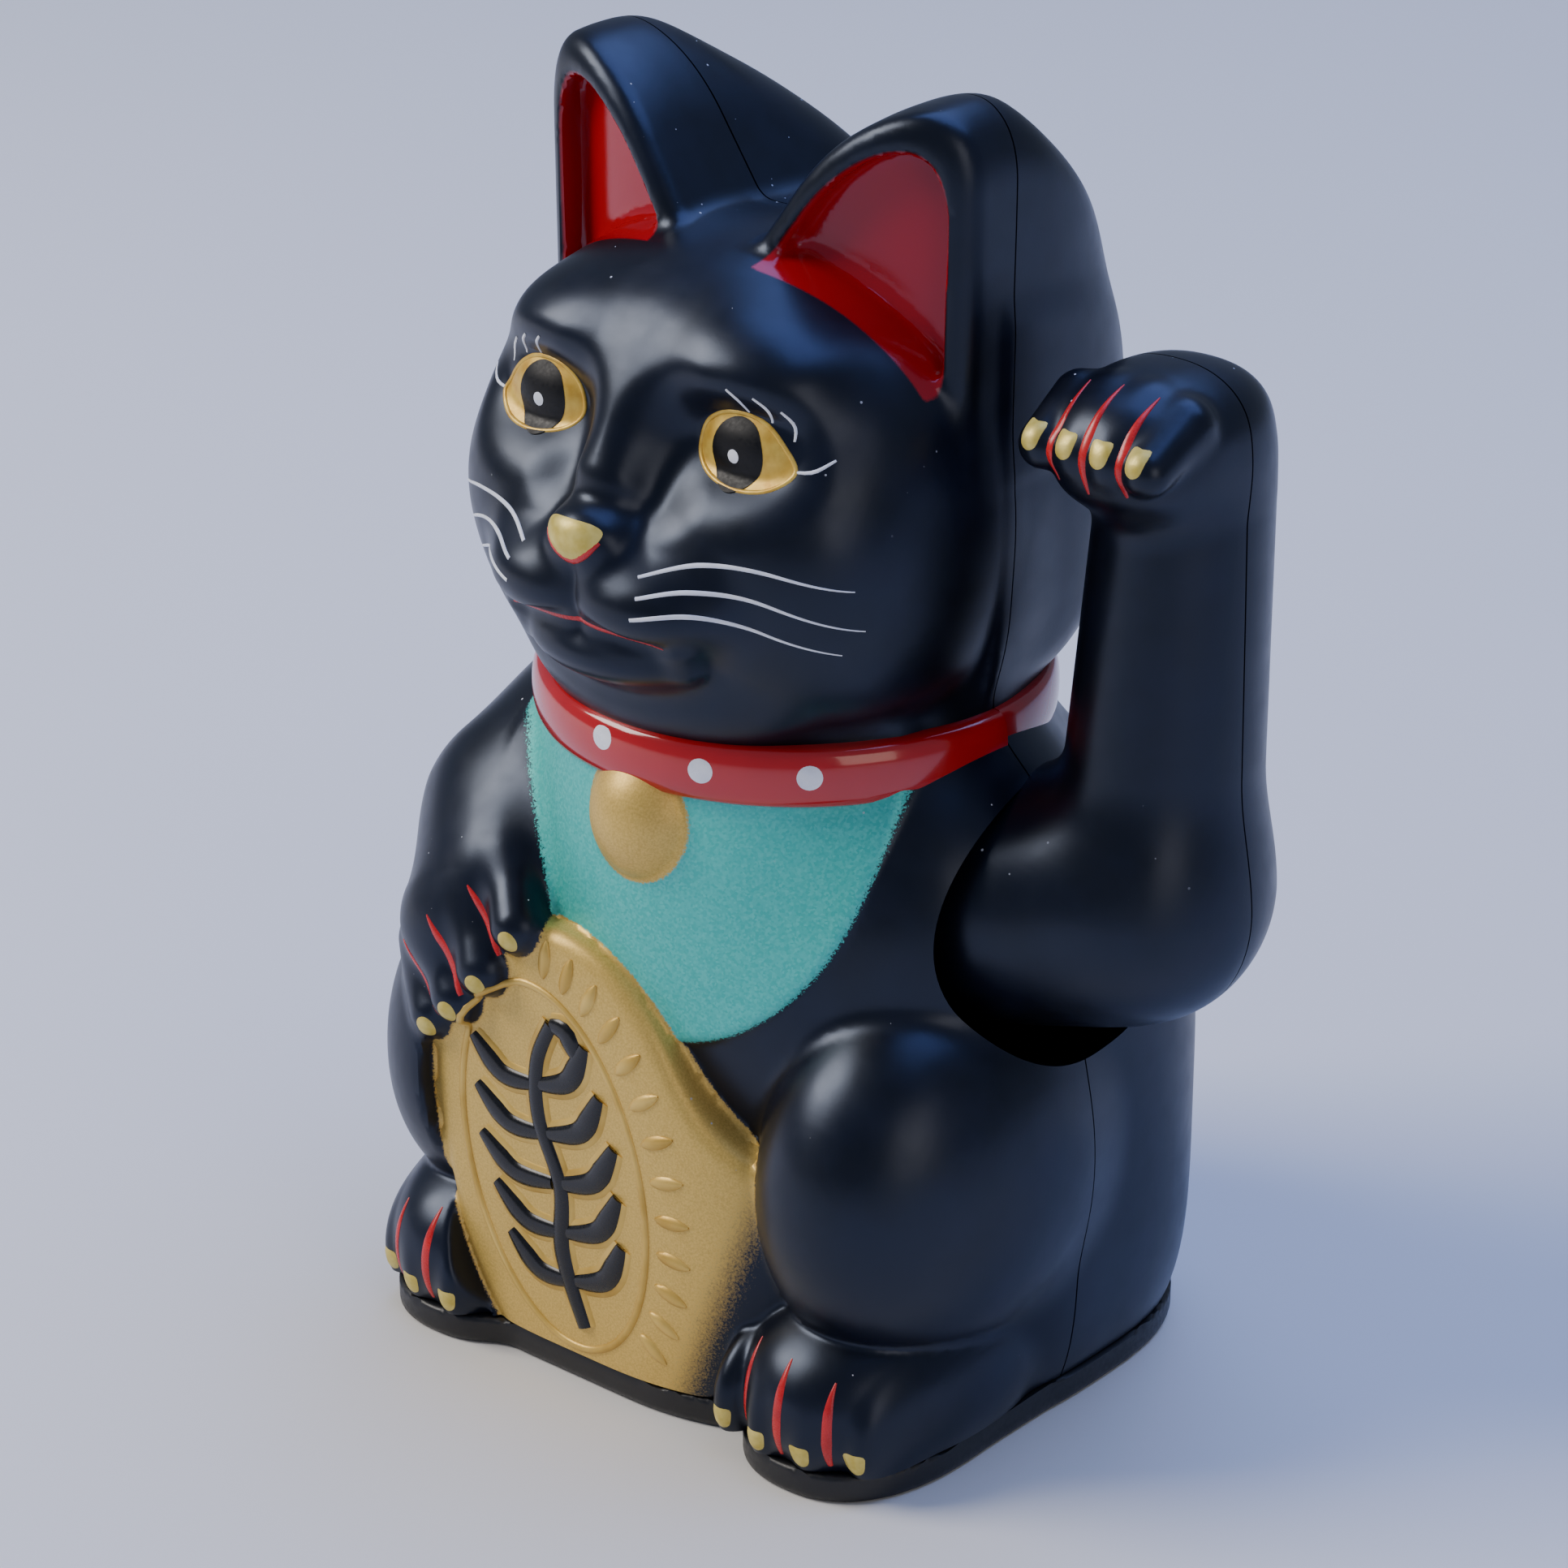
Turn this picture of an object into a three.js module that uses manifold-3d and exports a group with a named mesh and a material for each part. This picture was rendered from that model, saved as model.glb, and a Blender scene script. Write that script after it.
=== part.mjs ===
// Beckoning cat figurine, battery driven: a hollow moulded cat whose left arm swings on a steel axle.
// Millimetres. +Z up, the cat faces -Y, its raised left arm is at +X.
// The origin is on the underside of the base, where the seam plane of the shells (Y = 0) crosses the middle.
import * as THREE from "three";
import { mergeVertices } from "three/addons/utils/BufferGeometryUtils.js";
import { ConvexGeometry } from "three/addons/geometries/ConvexGeometry.js";
import Module from "manifold-3d";

const wasm = await Module();
wasm.setup();

// ---------------------------------------------------------------- driving dimensions
const wall = 2; // body shells
const armWall = 1.6;
const gap = 0.3; // between pieces that touch
const runningGap = 0.08; // between the axle and its bearings
const pressGap = 0.05; // around what the axle carries
const huge = 400; // half spaces are cut with boxes of this size

// body
const bodyHalfWidth = 57.5;
const bodyHalfDepth = 49;
const neckHeight = 104;
const neckRadius = 35.5;
const haunch = { radiusX: 20, radiusY: 32, radiusZ: 28, height: 43, forward: 14 };
const foot = { radiusX: 14.5, radiusY: 28, radiusZ: 21, inset: 20.5, toeFront: 47.5 };
const coin = { halfWidth: 30, halfHeight: 38, thickness: 10, x: -3, front: 45, lean: -12 };

// head
const headHalfWidth = 43;
const headHalfDepth = 45;
const headBottom = 104;
const headTop = 179.5;
const headForward = 2;
const muzzle = { radiusX: 13, radiusY: 10, radiusZ: 10, spread: 7, height: 134, front: 48.5 };
const earHeight = 200;
const earApexX = 26.5;
const earFront = 15;
const earBack = 30;
const earCupDepth = 6;
const earRim = 4.2;

// collar
const collarHeight = 9.5;
const collarProud = 4.2;

// base
const baseThickness = 4.7;
const baseHalfWidth = 50.5;
const baseHalfDepth = 44;
const doorThickness = 1.8;
const doorRecess = 0.5;
const screwRadius = 1.5;
const screwHeadRadius = 2.9;
const screwLength = 12;
const bossRadius = 4.2;
const bossHeight = 22;
const ribHalf = 1;
const screwPlaces = [
  [-39, -20],
  [39, -20],
  [-39, 26],
  [39, 26],
];

// battery, one AA cell lying across the base
const cellRadius = 7.25;
const cellLength = 50.5;
const springTravel = 6;
const tubWall = 1.6;
const tubClearance = 0.6;
const tubSetBack = 12.05; // keeps the tub's rear corners clear of the round back
const cellY = bodyHalfDepth - 2 * wall - tubSetBack - tubWall - tubClearance - cellRadius;
const tubFront = cellY - cellRadius - tubClearance - tubWall;

// arm and its drive
const shoulderRadius = 18.3;
const shoulderDrop = 4.7; // from the neck down to the top of the shoulder
const pivotY = 3;
const pivotZ = neckHeight - shoulderRadius - shoulderDrop;
const axleRadius = 1.5;
const axleInner = -19;
const armRoot = 28; // the arm's flat inner face
const shoulderX = 42;
const forearmX = 60.5;
const forearmY = 9.5;
const forearmRadiusX = 13;
const forearmRadiusY = 15;
const elbowZ = pivotZ - 1;
const pawTop = 169;
const pawForward = 4;
const holeRadiusY = shoulderRadius + 9.7;
const holeRadiusZ = shoulderRadius + 2.7;
const bearingX = [-14, 14];
const bearingWidth = 3;
const uprightWidth = 14;
const pendulumX = 0;
const magnetRadius = 7;
const magnetThickness = 5;
const magnetZ = 34;
const weightSize = { x: 13, y: 19, z: 15 };
const weightZ = 48;
const weightForward = 3.1;
const coilRadius = tubFront - 1.05 - pivotY; // the coil stands in front of the battery's tub
const coilHeight = 11;
const coilGap = 2.4;
const boardThickness = 1.6;
const boardHalf = { x: 21, y: 15 };
const boardY = -9;

// ---------------------------------------------------------------- materials
function material(color, roughness, metalness = 0) {
  return new THREE.MeshStandardMaterial({ color, roughness, metalness });
}
const satinBlack = material(0x14151c, 0.4);
const glossRed = material(0xa81420, 0.15);
const darkPlastic = material(0x111113, 0.55);
const whitePlastic = material(0xe6e4da, 0.5);
const steel = material(0xb9bcc0, 0.3, 1);
const magnetGrey = material(0x3c3d40, 0.5, 0.6);
const copper = material(0xb4653a, 0.3, 1);
const boardGreen = material(0x2d6b3c, 0.5);
const cellSleeve = material(0x2f5f9e, 0.35);
const redWire = material(0xb5201c, 0.5);
const blackWire = material(0x18181a, 0.5);

// ---------------------------------------------------------------- solids
// A closed three.js geometry as a solid that can be cut and joined.
function solid(geometry) {
  const bare = geometry.index ? geometry.toNonIndexed() : geometry.clone();
  bare.deleteAttribute("normal");
  bare.deleteAttribute("uv");
  const merged = mergeVertices(bare, 1e-4);
  const mesh = new wasm.Mesh({
    numProp: 3,
    vertProperties: merged.attributes.position.array,
    triVerts: merged.index.array,
  });
  return new wasm.Manifold(mesh);
}

function join(solids) {
  return solids.reduce((sum, next) => sum.add(next));
}

function cutAll(body, cutters) {
  return cutters.reduce((rest, cutter) => rest.subtract(cutter), body);
}

// A box from its lowest to its highest corner.
function box(low, high) {
  const size = high.map((value, i) => value - low[i]);
  const geometry = new THREE.BoxGeometry(...size);
  geometry.translate(...low.map((value, i) => value + size[i] / 2));
  return solid(geometry);
}

// A round bar from one end to the other, along an axis named by its letter.
function bar(axis, radius, start, end, place, sides = 20) {
  const geometry = new THREE.CylinderGeometry(radius, radius, end - start, sides);
  geometry.translate(0, (start + end) / 2, 0);
  if (axis === "x") geometry.rotateZ(-Math.PI / 2);
  if (axis === "z") geometry.rotateX(Math.PI / 2);
  geometry.translate(...place);
  return solid(geometry);
}

// An egg form: a sphere squared up by two powers (2 is round), then stretched to its radii.
function eggForm(centre, radii, flatPower = 2, uprightPower = 2, detail = [28, 16]) {
  const geometry = new THREE.SphereGeometry(1, ...detail);
  geometry.rotateX(Math.PI / 2);
  const point = geometry.attributes.position;
  for (let i = 0; i < point.count; i++) {
    const [x, y, z] = [point.getX(i), point.getY(i), point.getZ(i)];
    const flat = (Math.abs(x) ** flatPower + Math.abs(y) ** flatPower) ** (uprightPower / flatPower);
    const reach = (flat + Math.abs(z) ** uprightPower) ** (-1 / uprightPower);
    point.setXYZ(i, x * reach * radii[0], y * reach * radii[1], z * reach * radii[2]);
  }
  geometry.translate(...centre);
  return geometry;
}

// A turned form about Z from [radius, height] pairs joined by a smooth curve, squared up in plan.
function turnedForm(profile, steps, halfWidth, halfDepth, power = 2.5, sides = 40) {
  const curve = new THREE.SplineCurve(profile.map(([r, z]) => new THREE.Vector2(r, z)));
  const line = curve.getPoints(steps);
  const ends = [new THREE.Vector2(0, line[0].y), new THREE.Vector2(0, line[line.length - 1].y)];
  const geometry = new THREE.LatheGeometry([ends[0], ...line, ends[1]], sides);
  geometry.rotateX(Math.PI / 2);
  const point = geometry.attributes.position;
  for (let i = 0; i < point.count; i++) {
    const [x, y] = [point.getX(i), point.getY(i)];
    const r = Math.hypot(x, y);
    if (r < 1e-9) continue;
    const reach = ((Math.abs(x) / r) ** power + (Math.abs(y) / r) ** power) ** (-1 / power);
    point.setX(i, x * reach * halfWidth);
    point.setY(i, y * reach * halfDepth);
  }
  return geometry;
}

// An outline in plan, lifted from z = low to z = high.
function plate(outline, low, high, holes = []) {
  const shape = new THREE.Shape(outline);
  shape.holes = holes.map((hole) => new THREE.Path(hole));
  const geometry = new THREE.ExtrudeGeometry(shape, { depth: high - low, bevelEnabled: false });
  geometry.translate(0, 0, low);
  return geometry;
}

function circlePoints(centre, radius, count = 20) {
  return new THREE.Path().absarc(...centre, radius, 0, Math.PI * 2).getSpacedPoints(count).slice(0, -1);
}

const group = new THREE.Group();

// Adds one named piece to the figurine.
function piece(name, body, finish) {
  const shape = body instanceof THREE.BufferGeometry ? solid(body) : body;
  const made = shape.getMesh();
  const geometry = new THREE.BufferGeometry();
  geometry.setAttribute("position", new THREE.BufferAttribute(made.vertProperties, 3));
  geometry.setIndex(new THREE.BufferAttribute(made.triVerts, 1));
  const mesh = new THREE.Mesh(geometry, finish);
  mesh.name = name;
  group.add(mesh);
  return shape;
}

// ---------------------------------------------------------------- the cat's outer form
// Every form takes a margin: 0 gives the outside, and the wall's thickness gives the hollow inside it.
function torso(margin) {
  const relative = [
    [0.86, baseThickness - 1],
    [0.95, 14],
    [1, 32],
    [0.97, 56],
    [0.91, 76],
    [0.79, neckHeight - 12],
    [0.61, neckHeight],
  ];
  const across = bodyHalfWidth - margin;
  const deep = bodyHalfDepth - margin;
  const top = relative.length - 1;
  const profile = relative.map(([r, z], i) => [r, i === top ? z - margin : z]);
  return turnedForm(profile, margin ? 6 : 9, across, deep, 2.5, margin ? 18 : 28);
}

function neck(margin) {
  return bar("z", neckRadius - margin, neckHeight - 16, headBottom + 12, [0, 0, 0], 28);
}

function haunches(margin) {
  return [-1, 1].map((side) => {
    const x = side * (bodyHalfWidth + 0.5 - haunch.radiusX);
    const radii = [haunch.radiusX, haunch.radiusY, haunch.radiusZ].map((r) => r - margin);
    return eggForm([x, -haunch.forward, haunch.height], radii, 2, 2, margin ? [10, 6] : [14, 9]);
  });
}

function feet(margin) {
  return [-1, 1].map((side) => {
    const centre = [side * (bodyHalfWidth - foot.inset), foot.radiusY - foot.toeFront, baseThickness - 1];
    const radii = [foot.radiusX, foot.radiusY, foot.radiusZ].map((r) => r - margin);
    return eggForm(centre, radii, 2.4, 2, margin ? [10, 6] : [14, 9]);
  });
}

// The right foreleg comes down the side of the chest and its paw lies on the top of the coin.
function foldedArm(margin) {
  const upper = [17, 21, 24].map((r) => r - margin);
  const paw = [12, 13, 11].map((r) => r - margin);
  const out = bodyHalfWidth - 20;
  return [
    eggForm([-out, -17, 76], upper, 2, 2, margin ? [8, 6] : [14, 8]),
    eggForm([-out + 3, -33, 62], paw, 2, 2, margin ? [8, 6] : [14, 8]),
  ];
}

// The oval coin leans against the belly from the right paw down to the base.
function coinForm(margin) {
  const outline = new THREE.Shape();
  outline.absellipse(0, 0, coin.halfWidth - margin, coin.halfHeight - margin, 0, Math.PI * 2);
  const geometry = new THREE.ExtrudeGeometry(outline, {
    depth: coin.thickness,
    curveSegments: 6,
    bevelEnabled: false,
  });
  geometry.rotateX(Math.PI / 2);
  geometry.rotateY(THREE.MathUtils.degToRad(coin.lean));
  geometry.translate(coin.x, -coin.front + coin.thickness + margin, baseThickness + coin.halfHeight - 4);
  return geometry;
}

function head(margin) {
  const centre = [0, -headForward, (headBottom + headTop) / 2];
  const half = (headTop - headBottom) / 2;
  const radii = [headHalfWidth - margin, headHalfDepth - margin, half - margin];
  return eggForm(centre, radii, 2.5, 2.5, margin ? [16, 8] : [28, 14]);
}

function muzzlePads() {
  return [-1, 1].map((side) => {
    const centre = [side * muzzle.spread, muzzle.radiusY - muzzle.front, muzzle.height];
    return eggForm(centre, [muzzle.radiusX, muzzle.radiusY, muzzle.radiusZ], 2, 2, [10, 6]);
  });
}

// An ear's arch seen from the front: the inner foot, up over the tip, and down to the outer foot.
function earArch(inset) {
  const inner = [earApexX - 20 + inset, headTop - 6];
  const outer = [headHalfWidth - 4.5 - inset, headTop - 24];
  const tip = earHeight - inset;
  const curve = new THREE.SplineCurve([
    new THREE.Vector2(...inner),
    new THREE.Vector2(earApexX - 9 + inset * 0.5, tip - 9),
    new THREE.Vector2(earApexX + 1, tip),
    new THREE.Vector2(headHalfWidth - 6.5 - inset, tip - 12),
    new THREE.Vector2(...outer),
  ]);
  return curve.getPoints(6);
}

// The ear's front face is turned outwards, and its back slopes down into the back of the head.
const earTurn = 0.38;
const earLevel = 7;
const earBackHeight = (height) => headTop - 26 + (height - headTop + 26) * 0.45;
function ear(side, margin) {
  const front = earArch(margin).map((p) => [p.x, -earFront + margin + earTurn * (p.x - earApexX + 20) * 0.5, p.y]);
  const back = earArch(margin).map((p) => [earApexX + (p.x - earApexX) * 0.7, earBack - margin, earBackHeight(p.y)]);
  const level = earArch(margin).map((p) => [p.x, earLevel, p.y]);
  const points = [...front, ...back, ...level].map(([x, y, z]) => new THREE.Vector3(side * x, y, z));
  return new ConvexGeometry(points);
}

// The hollow cup in the front of an ear.
function earCup(side) {
  const arch = earArch(earRim);
  const depth = (p) => -earFront + earTurn * (p.x - earApexX + 20) * 0.5;
  const points = arch.flatMap((p) => [
    new THREE.Vector3(side * p.x, depth(p) - 3, p.y),
    new THREE.Vector3(side * p.x, depth(p) + earCupDepth, p.y),
  ]);
  return solid(new ConvexGeometry(points));
}

function catForm(margin) {
  const ears = [-1, 1].map((side) => ear(side, margin));
  const forms = [
    torso(margin),
    ...haunches(margin),
    ...feet(margin),
    ...foldedArm(margin),
    head(margin),
    ...(margin ? [] : muzzlePads()),
    ...ears,
    coinForm(margin),
  ];
  return join([...forms.map(solid), neck(margin)]);
}

// ---------------------------------------------------------------- body shells and collar
const collarLow = neckHeight - 3;
const collarHigh = collarLow + collarHeight;

function ring(inner, outer, low, high, sides = 32) {
  const middle = (low + high) / 2;
  const profile = [
    [inner, low],
    [outer - 1.6, low],
    [outer, middle],
    [outer - 1.6, high],
    [inner, high],
    [inner, low],
  ].map(([r, z]) => new THREE.Vector2(r, z));
  const geometry = new THREE.LatheGeometry(profile, sides);
  geometry.rotateX(Math.PI / 2);
  return solid(geometry);
}

function shellHollow() {
  const cups = [-1, 1].map((side) => join([earCup(side)]));
  const outside = cutAll(catForm(0), cups);
  const cupWalls = [-1, 1].map((side) => solid(earCupWall(side)));
  const inside = cutAll(catForm(wall), cupWalls);
  return { outside, inside };
}

// The room that an ear cup and its wall take out of the hollow head.
function earCupWall(side) {
  const arch = earArch(earRim - wall);
  const depth = (p) => -earFront + earTurn * (p.x - earApexX + 20) * 0.5;
  const points = arch.flatMap((p) => [
    new THREE.Vector3(side * p.x, depth(p) - 8, p.y),
    new THREE.Vector3(side * p.x, depth(p) + earCupDepth + wall, p.y),
  ]);
  return new ConvexGeometry(points);
}

const { outside, inside } = shellHollow();
const bosses = join(
  screwPlaces.flatMap(([x, y]) => {
    const side = Math.sign(x) * huge;
    const rib = box([Math.min(x, side), y - ribHalf, baseThickness], [Math.max(x, side), y + ribHalf, bossHeight]);
    return [bar("z", bossRadius, baseThickness, bossHeight, [x, y, 0], 12), rib];
  }),
);
const bossBores = screwPlaces.map(([x, y]) => bar("z", screwRadius + gap, 0, bossHeight - 3, [x, y, 0], 12));
const armHole = (() => {
  const geometry = new THREE.CylinderGeometry(1, 1, huge, 28);
  geometry.rotateZ(-Math.PI / 2);
  geometry.scale(1, holeRadiusY, holeRadiusZ);
  geometry.translate(huge / 2 + 20, pivotY, pivotZ - 2);
  return solid(geometry);
})();
const collarSeat = ring(neckRadius, headHalfWidth + 20, collarLow - gap, collarHigh + gap);
const floorCut = box([-huge, -huge, -huge], [huge, huge, baseThickness + gap]);

const hollowCat = cutAll(outside.subtract(inside).add(bosses.intersect(outside)), [
  ...bossBores,
  armHole,
  collarSeat,
  floorCut,
]);
const frontSide = box([-huge, -huge, -huge], [huge, -gap / 2, huge]);
const rearSide = box([-huge, gap / 2, -huge], [huge, huge, huge]);
piece("front_shell", hollowCat.intersect(frontSide), satinBlack);
piece("rear_shell", hollowCat.intersect(rearSide), satinBlack);

const collar = ring(neckRadius + gap, neckRadius + collarProud, collarLow, collarHigh);
piece("collar_front", collar.intersect(frontSide), glossRed);
piece("collar_rear", collar.intersect(rearSide), glossRed);

// ---------------------------------------------------------------- base plate and battery door
const tubInner = {
  x: cellLength / 2 + springTravel + 0.8,
  y: cellRadius + tubClearance,
  top: doorRecess + doorThickness + 2 * (tubClearance + cellRadius) + gap,
};
const cellZ = tubInner.top - tubClearance - cellRadius;
const doorHalf = { x: tubInner.x + 1.2, y: tubInner.y + 1.6 };
const hinge = { y: cellY - doorHalf.y, z: doorRecess + doorThickness / 2 };

// Half of the outline from the front middle round to the rear middle: the coin, a notch, a foot, the side.
const baseHalf = [
  [0, -42.5],
  [10, -41.8],
  [16, -39],
  [24, -40],
  [34, -40.5],
  [43, -36],
  [48, -26],
  [baseHalfWidth, 0],
  [baseHalfWidth, 25],
  [43, 38],
  [26, baseHalfDepth],
  [0, baseHalfDepth + 1],
];
const mirrored = baseHalf.slice(1, -1).reverse();
const baseOutline = [...baseHalf, ...mirrored.map(([x, y]) => [-x, y])].map((p) => new THREE.Vector2(...p));

const switchPlace = { x: -34, y: -2 };
const switchTravel = 2;
const knobHalf = { x: 1.8, y: 2.5 };
const boardPosts = [
  [-14, -23],
  [14, -23],
];
const boardLow = 12;
const framePlaces = [
  [-19.5, pivotY],
  [19.5, pivotY],
];
const frameFloor = baseThickness + gap;

const doorOpening = box(
  [-doorHalf.x - gap, cellY - doorHalf.y - doorThickness / 2 - gap, -1],
  [doorHalf.x + gap, cellY + doorHalf.y + gap, doorRecess + doorThickness + gap],
);
const cellRoom = box([-tubInner.x, cellY - tubInner.y, -1], [tubInner.x, cellY + tubInner.y, tubInner.top]);
const tub = box(
  [-tubInner.x - tubWall, cellY - tubInner.y - tubWall, baseThickness - 1],
  [tubInner.x + tubWall, cellY + tubInner.y + tubWall, tubInner.top + tubWall],
);
const tabSlots = [-1, 1].map((side) => {
  const x = side * (tubInner.x - 1);
  return box([x - 1, cellY - 3, tubInner.top - 1], [x + 1, cellY + 3, huge]);
});
const screwBores = [...screwPlaces, ...framePlaces, ...boardPosts].flatMap(([x, y]) => {
  const head = bar("z", screwHeadRadius + gap, -1, 2.4 + gap, [x, y, 0], 16);
  return [bar("z", screwRadius + gap, -1, huge, [x, y, 0], 12), head];
});
const posts = boardPosts.map(([x, y]) => bar("z", 3, baseThickness - 1, boardLow - gap, [x, y, 0], 12));
const knobSlot = box(
  [switchPlace.x - knobHalf.x - gap, switchPlace.y - knobHalf.y - switchTravel - gap, -1],
  [switchPlace.x + knobHalf.x + gap, switchPlace.y + knobHalf.y + switchTravel + gap, huge],
);
const basePlate = cutAll(join([solid(plate(baseOutline, 0, baseThickness)), tub, ...posts]), [
  cellRoom,
  doorOpening,
  ...tabSlots,
  ...screwBores,
  knobSlot,
]);
piece("base_plate", basePlate, darkPlastic);

const doorLow = [-doorHalf.x, hinge.y, doorRecess];
const doorHigh = [doorHalf.x, cellY + doorHalf.y, doorRecess + doorThickness];
const knuckle = bar("x", doorThickness / 2, -doorHalf.x, doorHalf.x, [0, hinge.y, hinge.z], 12);
const gripCuts = [-4, 0, 4].map((x) => box([x - 0.8, doorHigh[1] - 5, 0], [x + 0.8, doorHigh[1] - 1.5, doorRecess + 0.6]));
piece("battery_door", cutAll(box(doorLow, doorHigh).add(knuckle), gripCuts), darkPlastic);

// ---------------------------------------------------------------- battery and its contacts
const cellShift = springTravel / 2;
const cell = bar("x", cellRadius, -cellLength / 2 + 1, cellLength / 2 - 1.5, [cellShift, cellY, cellZ], 20);
const button = bar("x", 2.7, 0, cellLength / 2, [cellShift, cellY, cellZ], 12);
const foot0 = bar("x", 4.5, -cellLength / 2, 0, [cellShift, cellY, cellZ], 12);
piece("battery_cell", join([cell, button, foot0]), cellSleeve);

const contactThickness = 0.5;
function contact(side) {
  const outerX = side * (tubInner.x - gap);
  const innerX = outerX - side * contactThickness;
  const xs = [Math.min(outerX, innerX), Math.max(outerX, innerX)];
  const face = box([xs[0], cellY - 5, cellZ - 5], [xs[1], cellY + 5, tubInner.top - gap]);
  const tab = box([xs[0], cellY - 2, cellZ], [xs[1], cellY + 2, tubInner.top + tubWall + 3]);
  return face.add(tab);
}
piece("contact_button_end", contact(1), steel);
piece("contact_spring_end", contact(-1), steel);

class Helix extends THREE.Curve {
  constructor(start, end, radii, turns) {
    super();
    Object.assign(this, { start, end, radii, turns });
  }
  getPoint(t, target = new THREE.Vector3()) {
    const angle = t * this.turns * Math.PI * 2;
    const radius = THREE.MathUtils.lerp(...this.radii, t);
    const x = THREE.MathUtils.lerp(this.start, this.end, t);
    return target.set(x, cellY + radius * Math.cos(angle), cellZ + radius * Math.sin(angle));
  }
}

// A round wire swept along a curve.
function wire(curve, radius, steps, sides = 6) {
  const section = new THREE.Shape(circlePoints([0, 0], radius, sides));
  return new THREE.ExtrudeGeometry(section, { steps, extrudePath: curve, bevelEnabled: false });
}
const springStart = -tubInner.x + gap + contactThickness + 0.4 + gap;
const springEnd = cellShift - cellLength / 2 - 0.4 - gap;
piece("battery_spring", wire(new Helix(springStart, springEnd, [4.4, 2.6], 3.2), 0.35, 38, 5), steel);

// ---------------------------------------------------------------- switch
const switchSize = { x: 7, y: 16, high: 8 };
const slotTop = frameFloor + 4.5;
const switchBlock = box(
  [switchPlace.x - switchSize.x / 2, switchPlace.y - switchSize.y / 2, frameFloor],
  [switchPlace.x + switchSize.x / 2, switchPlace.y + switchSize.y / 2, frameFloor + switchSize.high],
);
const slideRoom = box(
  [switchPlace.x - knobHalf.x - gap, switchPlace.y - knobHalf.y - switchTravel - gap, frameFloor - 1],
  [switchPlace.x + knobHalf.x + gap, switchPlace.y + knobHalf.y + switchTravel + gap, slotTop],
);
piece("switch_body", switchBlock.subtract(slideRoom), darkPlastic);
const knobY = switchPlace.y - switchTravel;
const knob = box(
  [switchPlace.x - knobHalf.x, knobY - knobHalf.y, 1],
  [switchPlace.x + knobHalf.x, knobY + knobHalf.y, slotTop - gap],
);
piece("switch_knob", knob, whitePlastic);

// ---------------------------------------------------------------- frame, coil and board
const pedestalTop = magnetZ - magnetThickness / 2 - coilGap - coilHeight - gap;
const framePad = box([-24, pivotY - 10, frameFloor], [24, tubFront - 3.05, frameFloor + 3]);
const pedestal = box([-9, pivotY - 7, frameFloor], [9, pivotY + 7, pedestalTop]);
const uprights = bearingX.map((x) =>
  box(
    [x - bearingWidth / 2, pivotY - uprightWidth / 2, frameFloor],
    [x + bearingWidth / 2, pivotY + uprightWidth / 2, pivotZ + 11],
  ),
);
const tie = box(
  [bearingX[0], pivotY - uprightWidth / 2, pivotZ + 8],
  [bearingX[1], pivotY + uprightWidth / 2, pivotZ + 11],
);
const frameBores = framePlaces.map(([x, y]) => bar("z", screwRadius + gap, 0, 30, [x, y, 0], 12));
const bearings = bar("x", axleRadius + runningGap, bearingX[0] - 5, bearingX[1] + 5, [0, pivotY, pivotZ], 16);
piece("drive_frame", cutAll(join([framePad, pedestal, ...uprights, tie]), [...frameBores, bearings]), whitePlastic);

const coilLow = pedestalTop + gap;
const flange = 1.4;
const coilCore = 3.6;
const bobbin = join([
  bar("z", coilCore, coilLow, coilLow + coilHeight, [0, pivotY, 0], 16),
  bar("z", coilRadius, coilLow, coilLow + flange, [0, pivotY, 0], 24),
  bar("z", coilRadius, coilLow + coilHeight - flange, coilLow + coilHeight, [0, pivotY, 0], 24),
]);
piece("coil_bobbin", bobbin.subtract(bar("z", 1.5, 0, huge, [0, pivotY, 0], 10)), whitePlastic);
const windingLow = coilLow + flange + gap;
const windingHigh = coilLow + coilHeight - flange - gap;
const winding = bar("z", coilRadius - 1, windingLow, windingHigh, [0, pivotY, 0], 24);
piece("coil_winding", winding.subtract(bar("z", coilCore + gap, 0, huge, [0, pivotY, 0], 16)), copper);

const boardTop = boardLow + boardThickness;
const boardSolid = box([-18, boardPosts[0][1] - 8, boardLow], [18, boardPosts[0][1] + 8, boardTop]);
const boardBores = boardPosts.map(([x, y]) => bar("z", screwRadius + gap, 0, 30, [x, y, 0], 12));
piece("circuit_board", cutAll(boardSolid, boardBores), boardGreen);
piece("capacitor", bar("z", 3.2, boardTop + gap, boardTop + 8, [5, boardPosts[0][1] - 2, 0], 16), magnetGrey);
const transistor = bar("z", 2.4, boardTop + gap, boardTop + 5, [-5, boardPosts[0][1], 0], 12);
piece("transistor", transistor.intersect(box([-huge, boardPosts[0][1] - 1.2, 0], [huge, huge, huge])), darkPlastic);

// ---------------------------------------------------------------- screws
function screw(place, headLow, length) {
  const shank = bar("z", screwRadius, headLow + 1, headLow + length, [...place, 0], 12);
  const screwHead = bar("z", screwHeadRadius, headLow, headLow + 1.8, [...place, 0], 16);
  const slotA = box([place[0] - 2, place[1] - 0.3, headLow - 1], [place[0] + 2, place[1] + 0.3, headLow + 0.8]);
  const slotB = box([place[0] - 0.3, place[1] - 2, headLow - 1], [place[0] + 0.3, place[1] + 2, headLow + 0.8]);
  return cutAll(shank.add(screwHead), [slotA, slotB]);
}
screwPlaces.forEach((place, i) => piece(`shell_screw_${i + 1}`, screw(place, 0.6, screwLength + 4), steel));
framePlaces.forEach((place, i) => piece(`frame_screw_${i + 1}`, screw(place, 0.6, 8), steel));
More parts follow.
